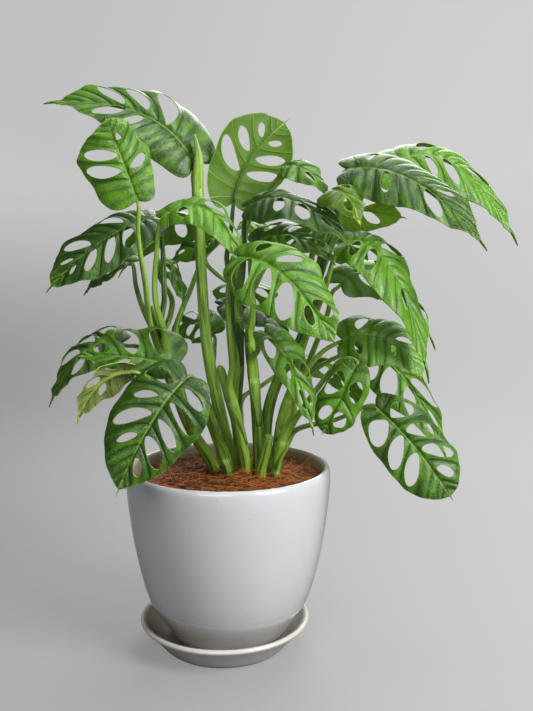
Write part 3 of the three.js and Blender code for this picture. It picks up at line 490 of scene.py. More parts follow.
class Path:
    """Centripetal Catmull-Rom curve through points, run straight on past its ends."""

    def __init__(self, points):
        points = [Vector(point) for point in points]
        before = 2 * points[0] - points[1]
        after = 2 * points[-1] - points[-2]
        self.points = [before, *points, after]

    def at(self, share):
        """The point at a share of the curve."""
        place = share * (len(self.points) - 3)
        first = min(int(place), len(self.points) - 4)
        a, b, c, d = self.points[first:first + 4]
        gap_a, gap_b, gap_c = (
            math.sqrt((q - p).length) for p, q in ((a, b), (b, c), (c, d)))
        leave = (b - a) / gap_a - (c - a) / (gap_a + gap_b) + (c - b) / gap_b
        arrive = (c - b) / gap_b - (d - b) / (gap_b + gap_c) + (d - c) / gap_c
        leave, arrive = leave * gap_b, arrive * gap_b
        w = place - first
        square = (c - b) * 3 - leave * 2 - arrive
        cube = (b - c) * 2 + leave + arrive
        return b + leave * w + square * w ** 2 + cube * w ** 3

    def direction(self, share):
        """The unit direction of the curve at a share of it."""
        step = 0.001
        return (self.at(min(share + step, 1)) - self.at(max(share - step, 0))).normalized()

    def share_at_height(self, height):
        """Where a path that rises all the way passes a height."""
        low, high = 0, 1
        for _ in range(24):
            middle = (low + high) / 2
            low, high = (middle, high) if self.at(middle).z < height else (low, middle)
        return low


def stem_path(stem):
    """The centre line of a stem, which starts upright in the coir."""
    x, y, height = stem.points[0]
    foot = [(x, y, STEM_FOOT), (x, y, lerp(STEM_FOOT, height, STEM_UPRIGHT))]
    return Path([*foot, *stem.points])


def model_stem_at(stem, height):
    """The middle, direction and radius of the model's straight-sided stem at a height."""
    path = stem_path(stem)
    rings = [path.at(i / STEM_STEPS) for i in range(STEM_STEPS + 1)]
    above = next(i for i, ring in enumerate(rings) if ring.z > height)
    low, high = rings[above - 1], rings[above]
    share = (height - low.z) / (high.z - low.z)
    radius = lerp(*stem.radii, (above - 1 + share) / STEM_STEPS)
    return low.lerp(high, share), (high - low).normalized(), radius


# Mesh in the making ----------------------------------------------------------------


class Shape:
    """A mesh as it grows, in millimetres, with the values that its materials read.

    skin holds the place on a round stem as the cosine and sine round it and the length
    along it, and on a blade as the distance from the midrib and from the base. vein, rib and
    edge are distances in millimetres from a side vein, from the midrib and from a cut edge.
    under is 1 on the underside of a blade and on the inside of the glazed ware.
    """

    VALUES = ("vein", "rib", "edge", "under", "tone", "sheath")

    def __init__(self, tone=0.5):
        self.tone = tone
        self.vertices = []
        self.faces = []
        self.slots = []
        self.skin = []
        self.values = {name: [] for name in self.VALUES}

    def vertex(self, point, skin=(0, 0, 0), **values):
        self.vertices.append(point * MM)
        self.skin.extend(skin)
        values.setdefault("tone", self.tone)
        for name, column in self.values.items():
            column.append(values.get(name, 0))
        return len(self.vertices) - 1

    def face(self, corners, slot=0):
        corners = list(dict.fromkeys(corners))
        if len(corners) > 2:
            self.faces.append(corners)
            self.slots.append(slot)

    def join(self, rings, slot=0):
        """Adds the quads between neighbouring rings, which all have as many corners."""
        for low, high in zip(rings, rings[1:]):
            for i, corner in enumerate(low):
                j = (i + 1) % len(low)
                self.face((corner, low[j], high[j], high[i]), slot)

    def level_ring(self, radius, sides, height):
        """A level ring round the upright axis. height gives the height for x and y."""
        places = [(radius * c, radius * s) for _, c, s in turns(sides)]
        return [self.vertex(Vector((x, y, height(x, y)))) for x, y in places]

    def loft(self, rings, slot=0):
        """Joins rings to a closed body."""
        self.join(rings, slot)
        self.face(reversed(rings[0]), slot)
        self.face(rings[-1], slot)

    def tube(self, path, shares, radius, sides, facing, slot=0, **values):
        """A round body along a path. radius gives the radius for a share and an angle."""
        rings = []
        across = facing
        travelled = 0
        last = path.at(shares[0])
        for share in shares:
            middle, along = path.at(share), path.direction(share)
            travelled += (middle - last).length
            last = middle
            across = square_to(across, along)
            other = along.cross(across)
            rings.append([
                self.vertex(
                    middle + (across * c + other * s) * radius(share, angle),
                    (c, s, travelled), **values)
                for angle, c, s in turns(sides)])
        self.loft(rings, slot)

    def lathe(self, profile, sides, wobble, offset=Vector()):
        """Turns a closed profile of radius and height round the upright axis, unevenly."""
        depth, fineness = wobble
        rings = []
        for radius, height in profile:
            ring = []
            for _, c, s in turns(sides if radius > 0 else 1):
                point = Vector((radius * c, radius * s, height))
                out = Vector((point.x, point.y, 0)).normalized()
                point += out * (depth * noise.noise(point * fineness))
                ring.append(self.vertex(point + offset))
            rings.append(ring if radius > 0 else ring * sides)
        self.join(rings + rings[:1])

    def build(self, name, *materials):
        """The finished object, linked to the scene."""
        mesh = bpy.data.meshes.new(name)
        mesh.from_pydata(self.vertices, [], self.faces)
        mesh.polygons.foreach_set("material_index", self.slots)
        for value, column in self.values.items():
            if any(column):
                layer = mesh.attributes.new(value, "FLOAT", "POINT")
                layer.data.foreach_set("value", column)
        skin = mesh.attributes.new("skin", "FLOAT_VECTOR", "POINT")
        skin.data.foreach_set("vector", self.skin)
        return place(name, mesh, *materials)


def place(name, mesh, *materials):
    """Links a mesh to the scene as a smooth object with its materials."""
    mesh.shade_smooth()
    mesh.update()
    for material in materials:
        mesh.materials.append(material)
    piece = bpy.data.objects.new(name, mesh)
    bpy.context.scene.collection.objects.link(piece)
    return piece


def settle(piece, slot, *nodes):
    """Makes a piece ride with the plant and replace nodes. The slot is not used."""
    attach(piece, BODY)
    if nodes:
        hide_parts(*nodes)


# Node trees ------------------------------------------------------------------------


def titled(sockets):
    """Sockets by the names that Blender gives them, from the names of keywords."""
    return {key.replace("_", " ").title(): value for key, value in sockets.items()}


class Value:
    """An output of a node tree, on which Python arithmetic adds Math nodes."""

    def __init__(self, graph, socket):
        self.graph = graph
        self.socket = socket

    def __add__(self, other):
        return self.graph.math("ADD", self, other)

    __radd__ = __add__

    def __sub__(self, other):
        return self.graph.math("SUBTRACT", self, other)

    def __rsub__(self, other):
        return self.graph.math("SUBTRACT", other, self)

    def __mul__(self, other):
        return self.graph.math("MULTIPLY", self, other)

    __rmul__ = __mul__

    def __truediv__(self, other):
        return self.graph.math("DIVIDE", self, other)

    def __rtruediv__(self, other):
        return self.graph.math("DIVIDE", other, self)

    def __abs__(self):
        return self.graph.math("ABSOLUTE", self)

    def band(self, low, high):
        """Rises from 0 where this value is low to 1 where it is high."""
        settings = {"interpolation_type": "SMOOTHSTEP"}
        sockets = {"Value": self, "From Min": low, "From Max": high}
        return self.graph.out("ShaderNodeMapRange", settings, sockets)


class Graph:
    """Adds nodes to a tree: the settings first, then the sockets."""

    def __init__(self, tree):
        self.tree = tree

    def add(self, kind, settings=None, sockets=None):
        node = self.tree.nodes.new(kind)
        for name, value in (settings or {}).items():
            setattr(node, name, value)
        for key, value in (sockets or {}).items():
            socket = self.socket(node.inputs, key)
            if isinstance(value, Value):
                self.tree.links.new(value.socket, socket)
            else:
                socket.default_value = value
        return node

    def out(self, kind, settings=None, sockets=None, output=0):
        node = self.add(kind, settings, sockets)
        return Value(self, self.socket(node.outputs, output))

    @staticmethod
    def socket(sockets, key):
        if isinstance(key, int):
            return [socket for socket in sockets if socket.enabled][key]
        return next(
            socket for socket in sockets if socket.enabled and socket.name == key)

    def math(self, operation, *values):
        return self.out("ShaderNodeMath", {"operation": operation}, dict(enumerate(values)))

    def vector(self, operation, *values):
        return self.out(
            "ShaderNodeVectorMath", {"operation": operation}, dict(enumerate(values)))

    def combined(self, *values):
        """A vector from its three numbers."""
        return self.out("ShaderNodeCombineXYZ", None, dict(enumerate(values)))


class Finish(Graph):
    """A material of one Principled shader, and the patterns that drive it."""

    def __init__(self, name):
        self.material = bpy.data.materials.new(name)
        self.material.use_nodes = True
        super().__init__(self.material.node_tree)
        self.tree.nodes.clear()
        self.place = self.out("ShaderNodeTexCoord", output="Object")

    def attribute(self, name, output="Fac"):
        return self.out("ShaderNodeAttribute", {"attribute_name": name}, output=output)

    def stretched(self, place, *shares):
        """A place whose coordinates are each multiplied, to draw a pattern out."""
        return self.vector("MULTIPLY", place, shares)

    def noise(self, scale, detail=3, roughness=0.55, at=None):
        sockets = {
            "Vector": at or self.place, "Scale": scale, "Detail": detail,
            "Roughness": roughness,
        }
        return self.out("ShaderNodeTexNoise", None, sockets)

    def cracks(self, scale):
        """0 on the borders of an uneven net and higher inside its cells."""
        sockets = {"Vector": self.place, "Scale": scale}
        return self.out("ShaderNodeTexVoronoi", {"feature": "DISTANCE_TO_EDGE"}, sockets)

    def mix(self, factor, start, stop):
        start, stop = (c if isinstance(c, Value) else (*c, 1) for c in (start, stop))
        sockets = {"Factor": factor, "A": start, "B": stop}
        return self.out("ShaderNodeMix", {"data_type": "RGBA"}, sockets)

    def bump(self, height, distance):
        """The normal of a skin whose height, from 0 to 1, is worth a distance in metres."""
        return self.out("ShaderNodeBump", None, {"Height": height, "Distance": distance})

    def surface(self, see_through=0, glow=None, **sockets):
        """Closes the material. see_through is the share of light from behind, glow its colour."""
        shader = self.out("ShaderNodeBsdfPrincipled", None, titled(sockets))
        if see_through:
            passed = self.out("ShaderNodeBsdfTranslucent", None, {"Color": (*glow, 1)})
            shader = self.out("ShaderNodeMixShader", None, {0: see_through, 1: shader, 2: passed})
        self.add("ShaderNodeOutputMaterial", None, {"Surface": shader})
        return self.material

    def parts_of_place(self):
        """The coordinates of the place on the object, one by one."""
        split = self.add("ShaderNodeSeparateXYZ", None, {"Vector": self.place})
        return [Value(self, socket) for socket in split.outputs]


# Materials -------------------------------------------------------------------------


def leaf_finish(name, colours, vein_share, see_through):
    """Waxy leaf skin: streaked along the side veins, with a pale midrib and fine pale rims.

    colours are the dark and light greens, the painted sheen, the veins, the underside and the glow
    of light from behind. The green is darkened beside the side veins as painted shade, and a light
    leaf goes over into the painted sheen, a painted highlight, on its brightest streaks.
    """
    dark, light, painted_sheen, vein, under, glow = colours
    finish = Finish(name)
    below, vein_gap, rib_gap, edge_gap, tone = (
        finish.attribute(name) for name in ("under", "vein", "rib", "edge", "tone"))
    clouds = finish.noise(22, detail=3)
    along_veins = finish.stretched(finish.attribute("skin", "Vector"), 0.07, 0.24, 1)
    streaks = finish.noise(1, detail=4, at=along_veins)
    blotches = finish.noise(130, detail=4, roughness=0.65)
    specks = finish.noise(520, detail=2)
    net = finish.cracks(430)
    # Painted shade: the green is darkened beside each sunken side vein
    painted_shade_beside_vein = 1 - vein_gap.band(0.2, 2.6)
    on_vein = 1 - vein_gap.band(0.08, 0.4)
    on_rib = 1 - rib_gap.band(0.35, 1.05)
    on_rim = 1 - edge_gap.band(0.05, 0.45)
    # lightness takes the leaf's tone, partly painted light and shade, and the painted shade beside
    # the veins
    lightness = (
        tone + (clouds - 0.5) * 0.9 + (streaks - 0.5) * 1.3 + (blotches - 0.5) * 0.9
        + (specks - 0.5) * 0.25 - painted_shade_beside_vein * 0.26)
    green = finish.mix(lightness.band(0, 1), dark, light)
    # Painted highlight: the brightest streaks go over into the painted sheen
    green = finish.mix(lightness.band(0.75, 1.55) * 0.75, green, painted_sheen)
    green = finish.mix((1 - net.band(0, 0.1)) * 0.12, green, vein)
    pale = finish.mix(0.5, green, under)
    skin = finish.mix(below * 0.7, green, pale)
    lines = finish.math("MAXIMUM", on_vein * vein_share, on_rib * (0.4 + vein_share))
    lines = finish.math("MAXIMUM", lines, on_rim * 0.5)
    skin = finish.mix(lines, skin, vein)
    raised = 1 - below * 2
    relief = net.band(0, 0.3) * 0.3 + specks * 0.15 + blotches * 0.7 - on_vein * 0.9 * raised
    normal = finish.bump(relief, 0.0006)
    return finish.surface(
        see_through, glow, base_color=skin, normal=normal,
        roughness=0.3 + (clouds - 0.4) * 0.25 + specks * 0.12 + below * 0.2,
        coat_weight=0.2 - below * 0.15, coat_roughness=0.28)


def stem_finish(name, looks):
    """Green skin with light and dark streaks along it, drier and browner on sheaths."""
    finish = Finish(name)
    sheath = finish.attribute("sheath")
    tone = finish.attribute("tone")
    skin = finish.attribute("skin", "Vector")
    lengthwise = finish.stretched(skin, 3.6, 3.6, 0.03)
    bands = finish.noise(1.3, detail=2, at=finish.stretched(skin, 1.1, 1.1, 0.012))
    streaks = finish.noise(1.7, detail=4, at=lengthwise)
    fine = finish.noise(8, detail=3, roughness=0.7, at=lengthwise)
    patches = finish.noise(60, detail=3)
    lightness = (
        tone + (bands - 0.5) * 1.9 + (streaks - 0.5) * 2 + (fine - 0.5) * 0.9
        + (patches - 0.5) * 0.6)
    colour = finish.mix(lightness.band(0, 1), looks.stem_dark, looks.stem_light)
    dried = sheath.band(0.6, 1) * (patches * 1.6 + fine * 0.5 - 0.75).band(0.3, 0.8)
    colour = finish.mix(dried * 0.3, colour, looks.stem_dry)
    normal = finish.bump(streaks * 0.6 + fine * 0.5, 0.001)
    return finish.surface(
        base_color=colour, roughness=0.3 + fine * 0.16 + dried * 0.25, normal=normal,
        coat_weight=0.35, coat_roughness=0.2)


def pot_finish(looks):
    """Grey-white glaze: faint clouds, pinholes, water stains at the foot and inside."""
    finish = Finish("pot glaze")
    across, _, height = finish.parts_of_place()
    clouds = finish.noise(11, detail=3)
    grain = finish.noise(320, detail=2)
    drips = finish.noise(4, detail=3, at=finish.stretched(finish.place, 14, 14, 1.5))
    inside = finish.attribute("under")
    foot = 1 - height.band(0.008, 0.05)
    left = 1 - across.band(-0.06, 0)
    colour = finish.mix(clouds.band(0.35, 0.7) * 0.35, looks.glaze, shade(looks.glaze, 0.86))
    stained = foot * (clouds * 1.3 + left * 0.35 - 0.45).band(0, 0.6) * 0.55
    step_line = 1 - abs(height - POT_STEP_HEIGHT * MM).band(0.0002, 0.001)
    colour = finish.mix(stained, colour, looks.stain)
    colour = finish.mix(step_line * 0.25, colour, looks.stain)
    damp = inside * (drips * 0.8 + clouds * 0.5 + 0.1).band(0.2, 0.9)
    colour = finish.mix(damp * 0.9, colour, shade(looks.stain, 0.8))
    pits = 1 - finish.cracks(70).band(0, 0.03)
    colour = finish.mix(pits * grain.band(0.64, 0.7) * 0.3, colour, shade(looks.stain, 0.5))
    normal = finish.bump(clouds * 0.8 + grain * 0.05, 0.0006)
    return finish.surface(
        base_color=colour, roughness=0.13 + clouds * 0.08 + stained * 0.25 + damp * 0.3,
        normal=normal, coat_weight=1 - damp * 0.6, coat_roughness=0.04)


def saucer_finish(looks):
    """Warm white glaze with soil washed into the well, and darker along its lowest few millimetres.
    """
    finish = Finish("saucer glaze")
    across, _, height = finish.parts_of_place()
    clouds = finish.noise(24, detail=4)
    grain = finish.noise(380, detail=3)
    inside = finish.attribute("under")
    left = 1 - across.band(-0.05, 0.02)
    dirt = inside * (clouds * 1.4 + left * 0.5 + grain * 0.4 - 0.75).band(0, 0.5)
    colour = finish.mix(clouds.band(0.4, 0.7) * 0.4, looks.saucer, shade(looks.saucer, 0.84))
    # The lowest few millimetres of the saucer are drawn darker as well as the dirt in the well
    low = 1 - height.band(0, 0.004)
    dirt_and_darker_bottom = finish.math("MAXIMUM", dirt * 0.8, low * 0.4)
    colour = finish.mix(dirt_and_darker_bottom, colour, shade(looks.stain, 0.42))
    normal = finish.bump(clouds * 0.5 + grain * 0.12, 0.0005)
    return finish.surface(
        base_color=colour, roughness=0.3 + grain * 0.12 + dirt * 0.35, normal=normal,
        coat_weight=0.5 - dirt * 0.4, coat_roughness=0.15)


def coir_finish(looks):
    """The ground between the fibres, darker than the fibres themselves."""
    finish = Finish("coir ground")
    crumbs = finish.noise(190, detail=5, roughness=0.7)
    clouds = finish.noise(30, detail=2)
    colour = finish.mix(
        (crumbs + clouds * 0.4 - 0.3).band(0.2, 0.75), shade(looks.coir_dark, 0.6),
        shade(looks.coir_light, 0.4))
    return finish.surface(
        base_color=colour, roughness=0.95, normal=finish.bump(crumbs, 0.002))


def fibre_finish(name, looks, lift):
    """Coir fibres, each of its own shade, with painted light that makes them lighter towards the
    right.
    """
    finish = Finish(name)
    shade_of_fibre = finish.attribute("shade")
    clouds = finish.noise(26, detail=3)
    # Painted light: the fibres are made lighter towards the right, the side the window lamp lights
    painted_light_east = finish.parts_of_place()[0].band(-0.03, 0.06)
    lightness = shade_of_fibre * 0.7 + clouds * 1.2 - 0.62 + painted_light_east * 0.25 + lift
    colour = finish.mix(lightness.band(0.05, 0.95), looks.coir_dark, looks.coir_light)
    return finish.surface(base_color=colour, roughness=0.62)


def shade(colour, share):
    """A colour made darker."""
    return tuple(channel * share for channel in colour)


# Leaves ----------------------------------------------------------------------------


def width_shape(s, taper):
    """The outline of a blade: round at the base and pointed at the tip."""
    return s ** BASE_POWER * max(1 - s, 0) ** taper


def sweep(s):
    """How far a side vein runs on towards the tip, less the lobe that falls back at the base."""
    lobe = math.sqrt(s / LOBE_PLACE) * math.exp((1 - s / LOBE_PLACE) / 2)
    return VEIN_SWEEP * s * max(1 - s, 0) - LOBE_SETBACK * lobe


def side_veins(holes):
    """Places of the side veins: at each end of a cell, and in the middle of a whole one."""
    size = (LAST_VEIN - FIRST_VEIN) / len(holes)
    veins = [0]
    for i, hole in enumerate(holes):
        veins.append(FIRST_VEIN + i * size)
        if hole == 0:
            veins.append(FIRST_VEIN + (i + 0.5) * size)
    return [*veins, LAST_VEIN, lerp(LAST_VEIN, 1, 0.5), TIP_END]


def ripple(turn, overtone, pitch, shift=0):
    """An uneven wave: a sine with a weaker and faster one on it."""
    return math.sin(turn) + overtone * math.sin(pitch * turn + shift)


class Blade:
    """The surface of a blade: s runs from base to tip, t from the midrib to the margin."""

    def __init__(self, leaf):
        base, bend, tip = (Vector(point) for point in (leaf.base, leaf.bend, leaf.tip))
        self.leaf = leaf
        self.ends = base, bend * 2 - (base + tip) / 2, tip
        steps = [self.midrib(share) for share in even_shares(MIDRIB_STEPS)]
        self.length = sum((b - a).length for a, b in zip(steps, steps[1:]))
        self.veins = [side_veins(holes) for holes in leaf.holes]
        self.widest = width_shape(BASE_POWER / (BASE_POWER + leaf.taper), leaf.taper)
        self.dice = random.Random(leaf.name)
        self.phase = self.dice.uniform(0, math.tau)

    def midrib(self, share):
        """A point of the midrib, which is one plain arc."""
        base, bend, tip = self.ends
        return base * (1 - share) ** 2 + bend * (2 * share * (1 - share)) + tip * share ** 2

    def frame(self, share):
        """The place, the direction and the upper side of the midrib at a share of it."""
        base, bend, tip = self.ends
        along = ((bend - base) * (1 - share) + (tip - bend) * share).normalized()
        up = Vector(self.leaf.face[0]).lerp(Vector(self.leaf.face[1]), share)
        return self.midrib(share), along, square_to(up, along)

    def width(self, side, s):
        """The width of one side, with its uneven outline and the strip of the drip tip."""
        strip = TIP_STRIP * smooth(*TIP_STRIP_RISE, s) * (1 - smooth(*TIP_STRIP_FALL, s))
        turn = math.tau * MARGIN_BAYS * s + self.phase * 2 + side
        uneven = 1 + MARGIN_UNEVEN * ripple(turn, *MARGIN_BAY_OVERTONE)
        half = self.leaf.half[side] * width_shape(s, self.leaf.taper) / self.widest
        return half * uneven + strip

    def surface(self, side, s, t):
        """A point of the smooth blade and the way it faces."""
        share = s + sweep(s) * t ** VEIN_BEND
        middle, along, up = self.frame(max(share, 0))
        middle = middle + along * (min(share, 0) * self.length)
        across = along.cross(up) * (-1 if side == 0 else 1)
        bend = self.leaf.curl / self.leaf.half[side]
        fold = math.radians(self.leaf.fold)
        turn = fold - bend * self.width(side, s) * t
        out = (math.sin(fold) - math.sin(turn)) / bend
        rise = (math.cos(turn) - math.cos(fold)) / bend
        normal = up if t == 0 else up * math.cos(turn) - across * math.sin(turn)
        return middle + across * out + up * rise, normal

    def vein_gap(self, side, s):
        """The distance to the nearest side vein, the share of the way between two, and the way."""
        veins = self.veins[side]
        after = min(max(bisect.bisect_right(veins, s), 1), len(veins) - 1)
        start, stop = veins[after - 1], veins[after]
        near = min(s - start, stop - s) * self.length
        return max(near, 0), (s - start) / (stop - start), (stop - start) * self.length

    def relief(self, side, s, t):
        """How far the skin stands off the smooth blade: puffs, groove and margin waves."""
        _, share, gap = self.vein_gap(side, s)
        swell = math.sin(math.pi * min(max(share, 0), 1)) ** PUFF_ROUND
        swell = min(PUFF_SHARE * gap, PUFF_MOST) * swell
        puff = swell * smooth(0, PUFF_FULL, t) * (1 - PUFF_FADE * smooth(PUFF_FADE_FROM, 1, t))
        turn = math.tau * MARGIN_WAVES * s + self.phase + 2 * side
        wave = MARGIN_WAVE * t ** 2 * ripple(turn, *MARGIN_WAVE_OVERTONE)
        wave *= math.sin(math.pi * min(s, 1)) ** 0.5
        groove = RIB_GROOVE * (1 - smooth(0, RIB_GROOVE_HALF, t * self.width(side, s)))
        groove *= max(1 - s, 0)
        return puff + wave - groove


def cell_border(start, stop):
    """Corners round a cell: out along one side vein, along the margin, back and home."""
    steps = [lerp(start, stop, share) for share in even_shares(CELL_STEPS)]
    out = [(start, t) for t in OUT_STEPS]
    margin = [(s, 1) for s in steps[1:]]
    back = [(stop, t) for t in reversed(OUT_STEPS[:-1])]
    rib = [(s, 0) for s in reversed(steps[1:-1])]
    return out + margin + back + rib


def hole_outline(border, start, stop, size, dice):
    """Corners of the hole in a cell, one for each corner of its border."""
    width, length, centre = (
        least + more * size for least, more in (HOLE_WIDTH, HOLE_LENGTH, HOLE_MIDDLE))
    half_width = (stop - start) * width * dice.uniform(*HOLE_WIDTHS)
    half_length = length * dice.uniform(*HOLE_LENGTHS)
    centre += dice.uniform(-HOLE_SHIFT, HOLE_SHIFT)
    lean = dice.uniform(-HOLE_LEAN, HOLE_LEAN) * half_width
    middle = (start + stop) / 2
    corners = []
    for s, t in border:
        angle = math.atan2((t - centre) / half_length, (s - middle) / half_width)
        aside, out = math.cos(angle), math.sin(angle)
        aside *= abs(aside) ** HOLE_POINT * (1 + HOLE_EGG * out)
        corners.append((middle + half_width * aside + lean * out, centre + half_length * out))
    return corners


def grid(rows, columns):
    """Corners of the quads of a patch, out along each row and on to the next."""
    for low, high in zip(rows, rows[1:]):
        for near, far in zip(columns, columns[1:]):
            yield (low, near), (low, far), (high, far), (high, near)


class Sheet:
    """The middle surface of a blade, made into a closed sheet of two skins and a wall."""

    def __init__(self, blade):
        self.blade = blade
        self.places = {}
        self.points = []
        self.gaps = []
        self.faces = []

    def corner(self, side, s, t, hole_gap=math.inf):
        """The corner at a place. Neighbours share it, and both sides do on the midrib."""
        key = (side if t > 0 else 2, round(s, 5), round(t, 5))
        if s in (0, TIP_END):
            key = s
        width = self.blade.width(side, s)
        edge_gap = min(hole_gap, (1 - t) * width)
        if key not in self.places:
            self.places[key] = len(self.points)
            point, normal = self.blade.surface(side, s, t)
            point = point + normal * self.blade.relief(side, s, t)
            vein_gap = self.blade.vein_gap(side, s)[0]
            place = (t * width * (2 * side - 1), s * self.blade.length, 0)
            self.points.append((point, normal, place))
            self.gaps.append([vein_gap, t * width, edge_gap])
        index = self.places[key]
        self.gaps[index][2] = min(self.gaps[index][2], edge_gap)
        return index

    def add(self, side, *corners):
        """Adds a face, turned to look up on either side."""
        face = [self.corner(side, *corner) for corner in corners]
        self.faces.append(face if side == 1 else face[::-1])

    def add_side(self, side, holes):
        """Adds one side of the blade: its base, its cells with their holes, and its tip."""
        for corners in grid(BASE_ROWS, OUT_STEPS):
            self.add(side, *corners)
        for i, size in enumerate(holes):
            start = lerp(FIRST_VEIN, LAST_VEIN, i / len(holes))
            stop = lerp(FIRST_VEIN, LAST_VEIN, (i + 1) / len(holes))
            if size:
                self.add_ring(side, start, stop, size)
                continue
            rows = [lerp(start, stop, share) for share in even_shares(CELL_STEPS)]
            for corners in grid(rows, OUT_STEPS):
                self.add(side, *corners)
        for corners in grid(TIP_ROWS, OUT_STEPS):
            self.add(side, *corners)

    def add_ring(self, side, start, stop, size):
        """The quads between the border of a cell and its hole."""
        border = cell_border(start, stop)
        hole = hole_outline(border, start, stop, size, self.blade.dice)
        length = self.blade.length
        loops = []
        for ring in HOLE_RINGS:
            loop = []
            for (s, t), (hole_s, hole_t) in zip(border, hole):
                aside = (s - hole_s) * length
                out = (t - hole_t) * self.blade.width(side, s)
                gap = (1 - ring) * math.hypot(aside, out)
                loop.append((lerp(s, hole_s, ring), lerp(t, hole_t, ring), gap))
            loops.append(loop)
        for outer, inner in zip(loops, loops[1:]):
            for i, corner in enumerate(outer):
                j = (i + 1) % len(outer)
                self.add(side, corner, outer[j], inner[j], inner[i])

    def close(self, shape, thickness):
        """Adds the upper skin, the lower skin and the wall along every cut edge."""
        skins = []
        for under in (0, 1):
            reach = thickness / 2 * (1 - 2 * under)
            skins.append([
                shape.vertex(
                    point + normal * reach, place, vein=vein, rib=rib, edge=edge, under=under)
                for (point, normal, place), (vein, rib, edge) in zip(self.points, self.gaps)])
        upper, lower = skins
        edges = set()
        for face in self.faces:
            face = list(dict.fromkeys(face))
            edges.update(zip(face, face[1:] + face[:1]))
            shape.face([upper[i] for i in face])
            shape.face([lower[i] for i in reversed(face)])
        for a, b in edges:
            if (b, a) not in edges:
                shape.face((upper[b], upper[a], lower[a], lower[b]))


def add_midrib(shape, blade):
    """A tapering rib under the blade, from the petiole nearly to the tip."""
    rings = []
    for i in range(MIDRIB_RINGS + 1):
        share = MIDRIB_REACH * i / MIDRIB_RINGS
        point, along, up = blade.frame(share)
        across = along.cross(up)
        radius = lerp(*MIDRIB_RADII, share ** MIDRIB_TAPER)
        middle = point - up * (RIB_GROOVE * (1 - share) + MIDRIB_SINK * radius)
        ring = [
            shape.vertex(
                middle + (up * c - across * s) * radius, (c, s, share * blade.length))
            for _, c, s in turns(MIDRIB_SIDES)]
        rings.append(ring[::-1])
    shape.loft(rings, 1)


def petiole_course(leaf, blade):
    """The path of a petiole, its start on the stem and the way it faces away from it."""
    middle, along, radius = model_stem_at(STEMS[leaf.stem], leaf.start)
    out = square_to(Vector(leaf.via[0]) - middle, along)
    start = middle + out * (radius + PETIOLE_RADII[0] + SEAT_GAP)
    parting = start + along * SHEATH_LENGTH + out * PARTING_GAP
    neck, neck_along, neck_up = blade.frame(0)
    end, _, end_up = blade.frame(FIRST_VEIN)
    last_bend = neck - neck_along * NECK_BACK - neck_up * NECK_DROP
    return Path([start, parting, *leaf.via, last_bend, end - end_up]), start, along, out


def petiole_stations(path, stem_along):
    """Where the rings of a petiole stand, from the foot of its sheath to its neck.

    Gives the share of the path, the middle, the direction and the distance from the start.
    """
    last = path.at(0)
    for i in range(SHEATH_RINGS):
        travelled = -SHEATH_DROP * (1 - i / SHEATH_RINGS)
        yield 0, last, stem_along, travelled
    for share in even_shares(PETIOLE_RINGS):
        middle = path.at(share)
        travelled += (middle - last).length
        last = middle
        yield share, middle, path.direction(share), travelled


def half_turns():
    """The corners of a petiole's ring: is it on the outer half, how far along it, its angle."""
    for outer, ends in ((True, (-80, 80)), (False, (100, 260))):
        for share in even_shares(PETIOLE_HALF - 1):
            yield outer, share, math.radians(lerp(*ends, share))


def sheath_ring(stem, height, out, travelled):
    """A function that gives the corners of a sheath round its stem at a height."""
    centre_line = stem_path(stem)
    near = centre_line.share_at_height(height)
    heart, along = centre_line.at(near), centre_line.direction(near)
    stem_out = square_to(out, along)
    stem_side = along.cross(stem_out)
    reach = math.radians(
        lerp(*SHEATH_REACH, smooth(-SHEATH_DROP, SHEATH_WIDEST, travelled)))
    thickness = lerp(*SHEATH_THICKNESS, smooth(-SHEATH_DROP, SHEATH_THICKEST, travelled))
    inner_skin = lerp(*stem.radii, near) - SHEATH_SKIN

    def corner(outer, share):
        swing = lerp(-reach, reach, share) * (1 if outer else -1)
        skin = inner_skin
        if outer:
            skin += 2 * SHEATH_SKIN + thickness * math.cos(swing / reach * SHEATH_ROUNDING)
        return heart + (stem_out * math.cos(swing) + stem_side * math.sin(swing)) * skin

    return corner


def add_petiole(shape, leaf, blade):
    """The stalk of a leaf. Its foot is a sheath that wraps the stem and runs down it."""
    path, start, stem_along, out = petiole_course(leaf, blade)
    rings = []
    across = out
    for share, middle, along, travelled in petiole_stations(path, stem_along):
        across = square_to(across, along)
        other = along.cross(across)
        radius = along_table(PETIOLE_SHARES, PETIOLE_RADII, share)
        wrap = 1 - smooth(*SHEATH_PARTING, travelled)
        if wrap:
            height = (start + stem_along * travelled).z
            wrapped = sheath_ring(STEMS[leaf.stem], height, out, travelled)
        ring = []
        for outer, place_in_half, turn in half_turns():
            c, s = math.cos(turn), math.sin(turn)
            groove = 1 - PETIOLE_GROOVE * math.exp(
                -((turn - math.pi) / PETIOLE_GROOVE_HALF) ** 2)
            groove += PETIOLE_FLUTE * math.cos(5 * turn)
            point = middle + (across * c + other * s) * radius * groove
            if wrap:
                point = point.lerp(wrapped(outer, place_in_half), wrap)
            ring.append(shape.vertex(point, (c, s, travelled), sheath=wrap))
        rings.append(ring)
    shape.loft(rings, 1)


# Operators -------------------------------------------------------------------------


def looks_of(context):
    return context.scene.plant_looks


def smooth_profile(points, steps):
    """A finer profile through points of radius and height."""
    path = Path([(radius, 0, height) for radius, height in points])
    places = [path.at(share) for share in even_shares(steps * (len(points) - 1))]
    return [(place.x, place.z) for place in places]


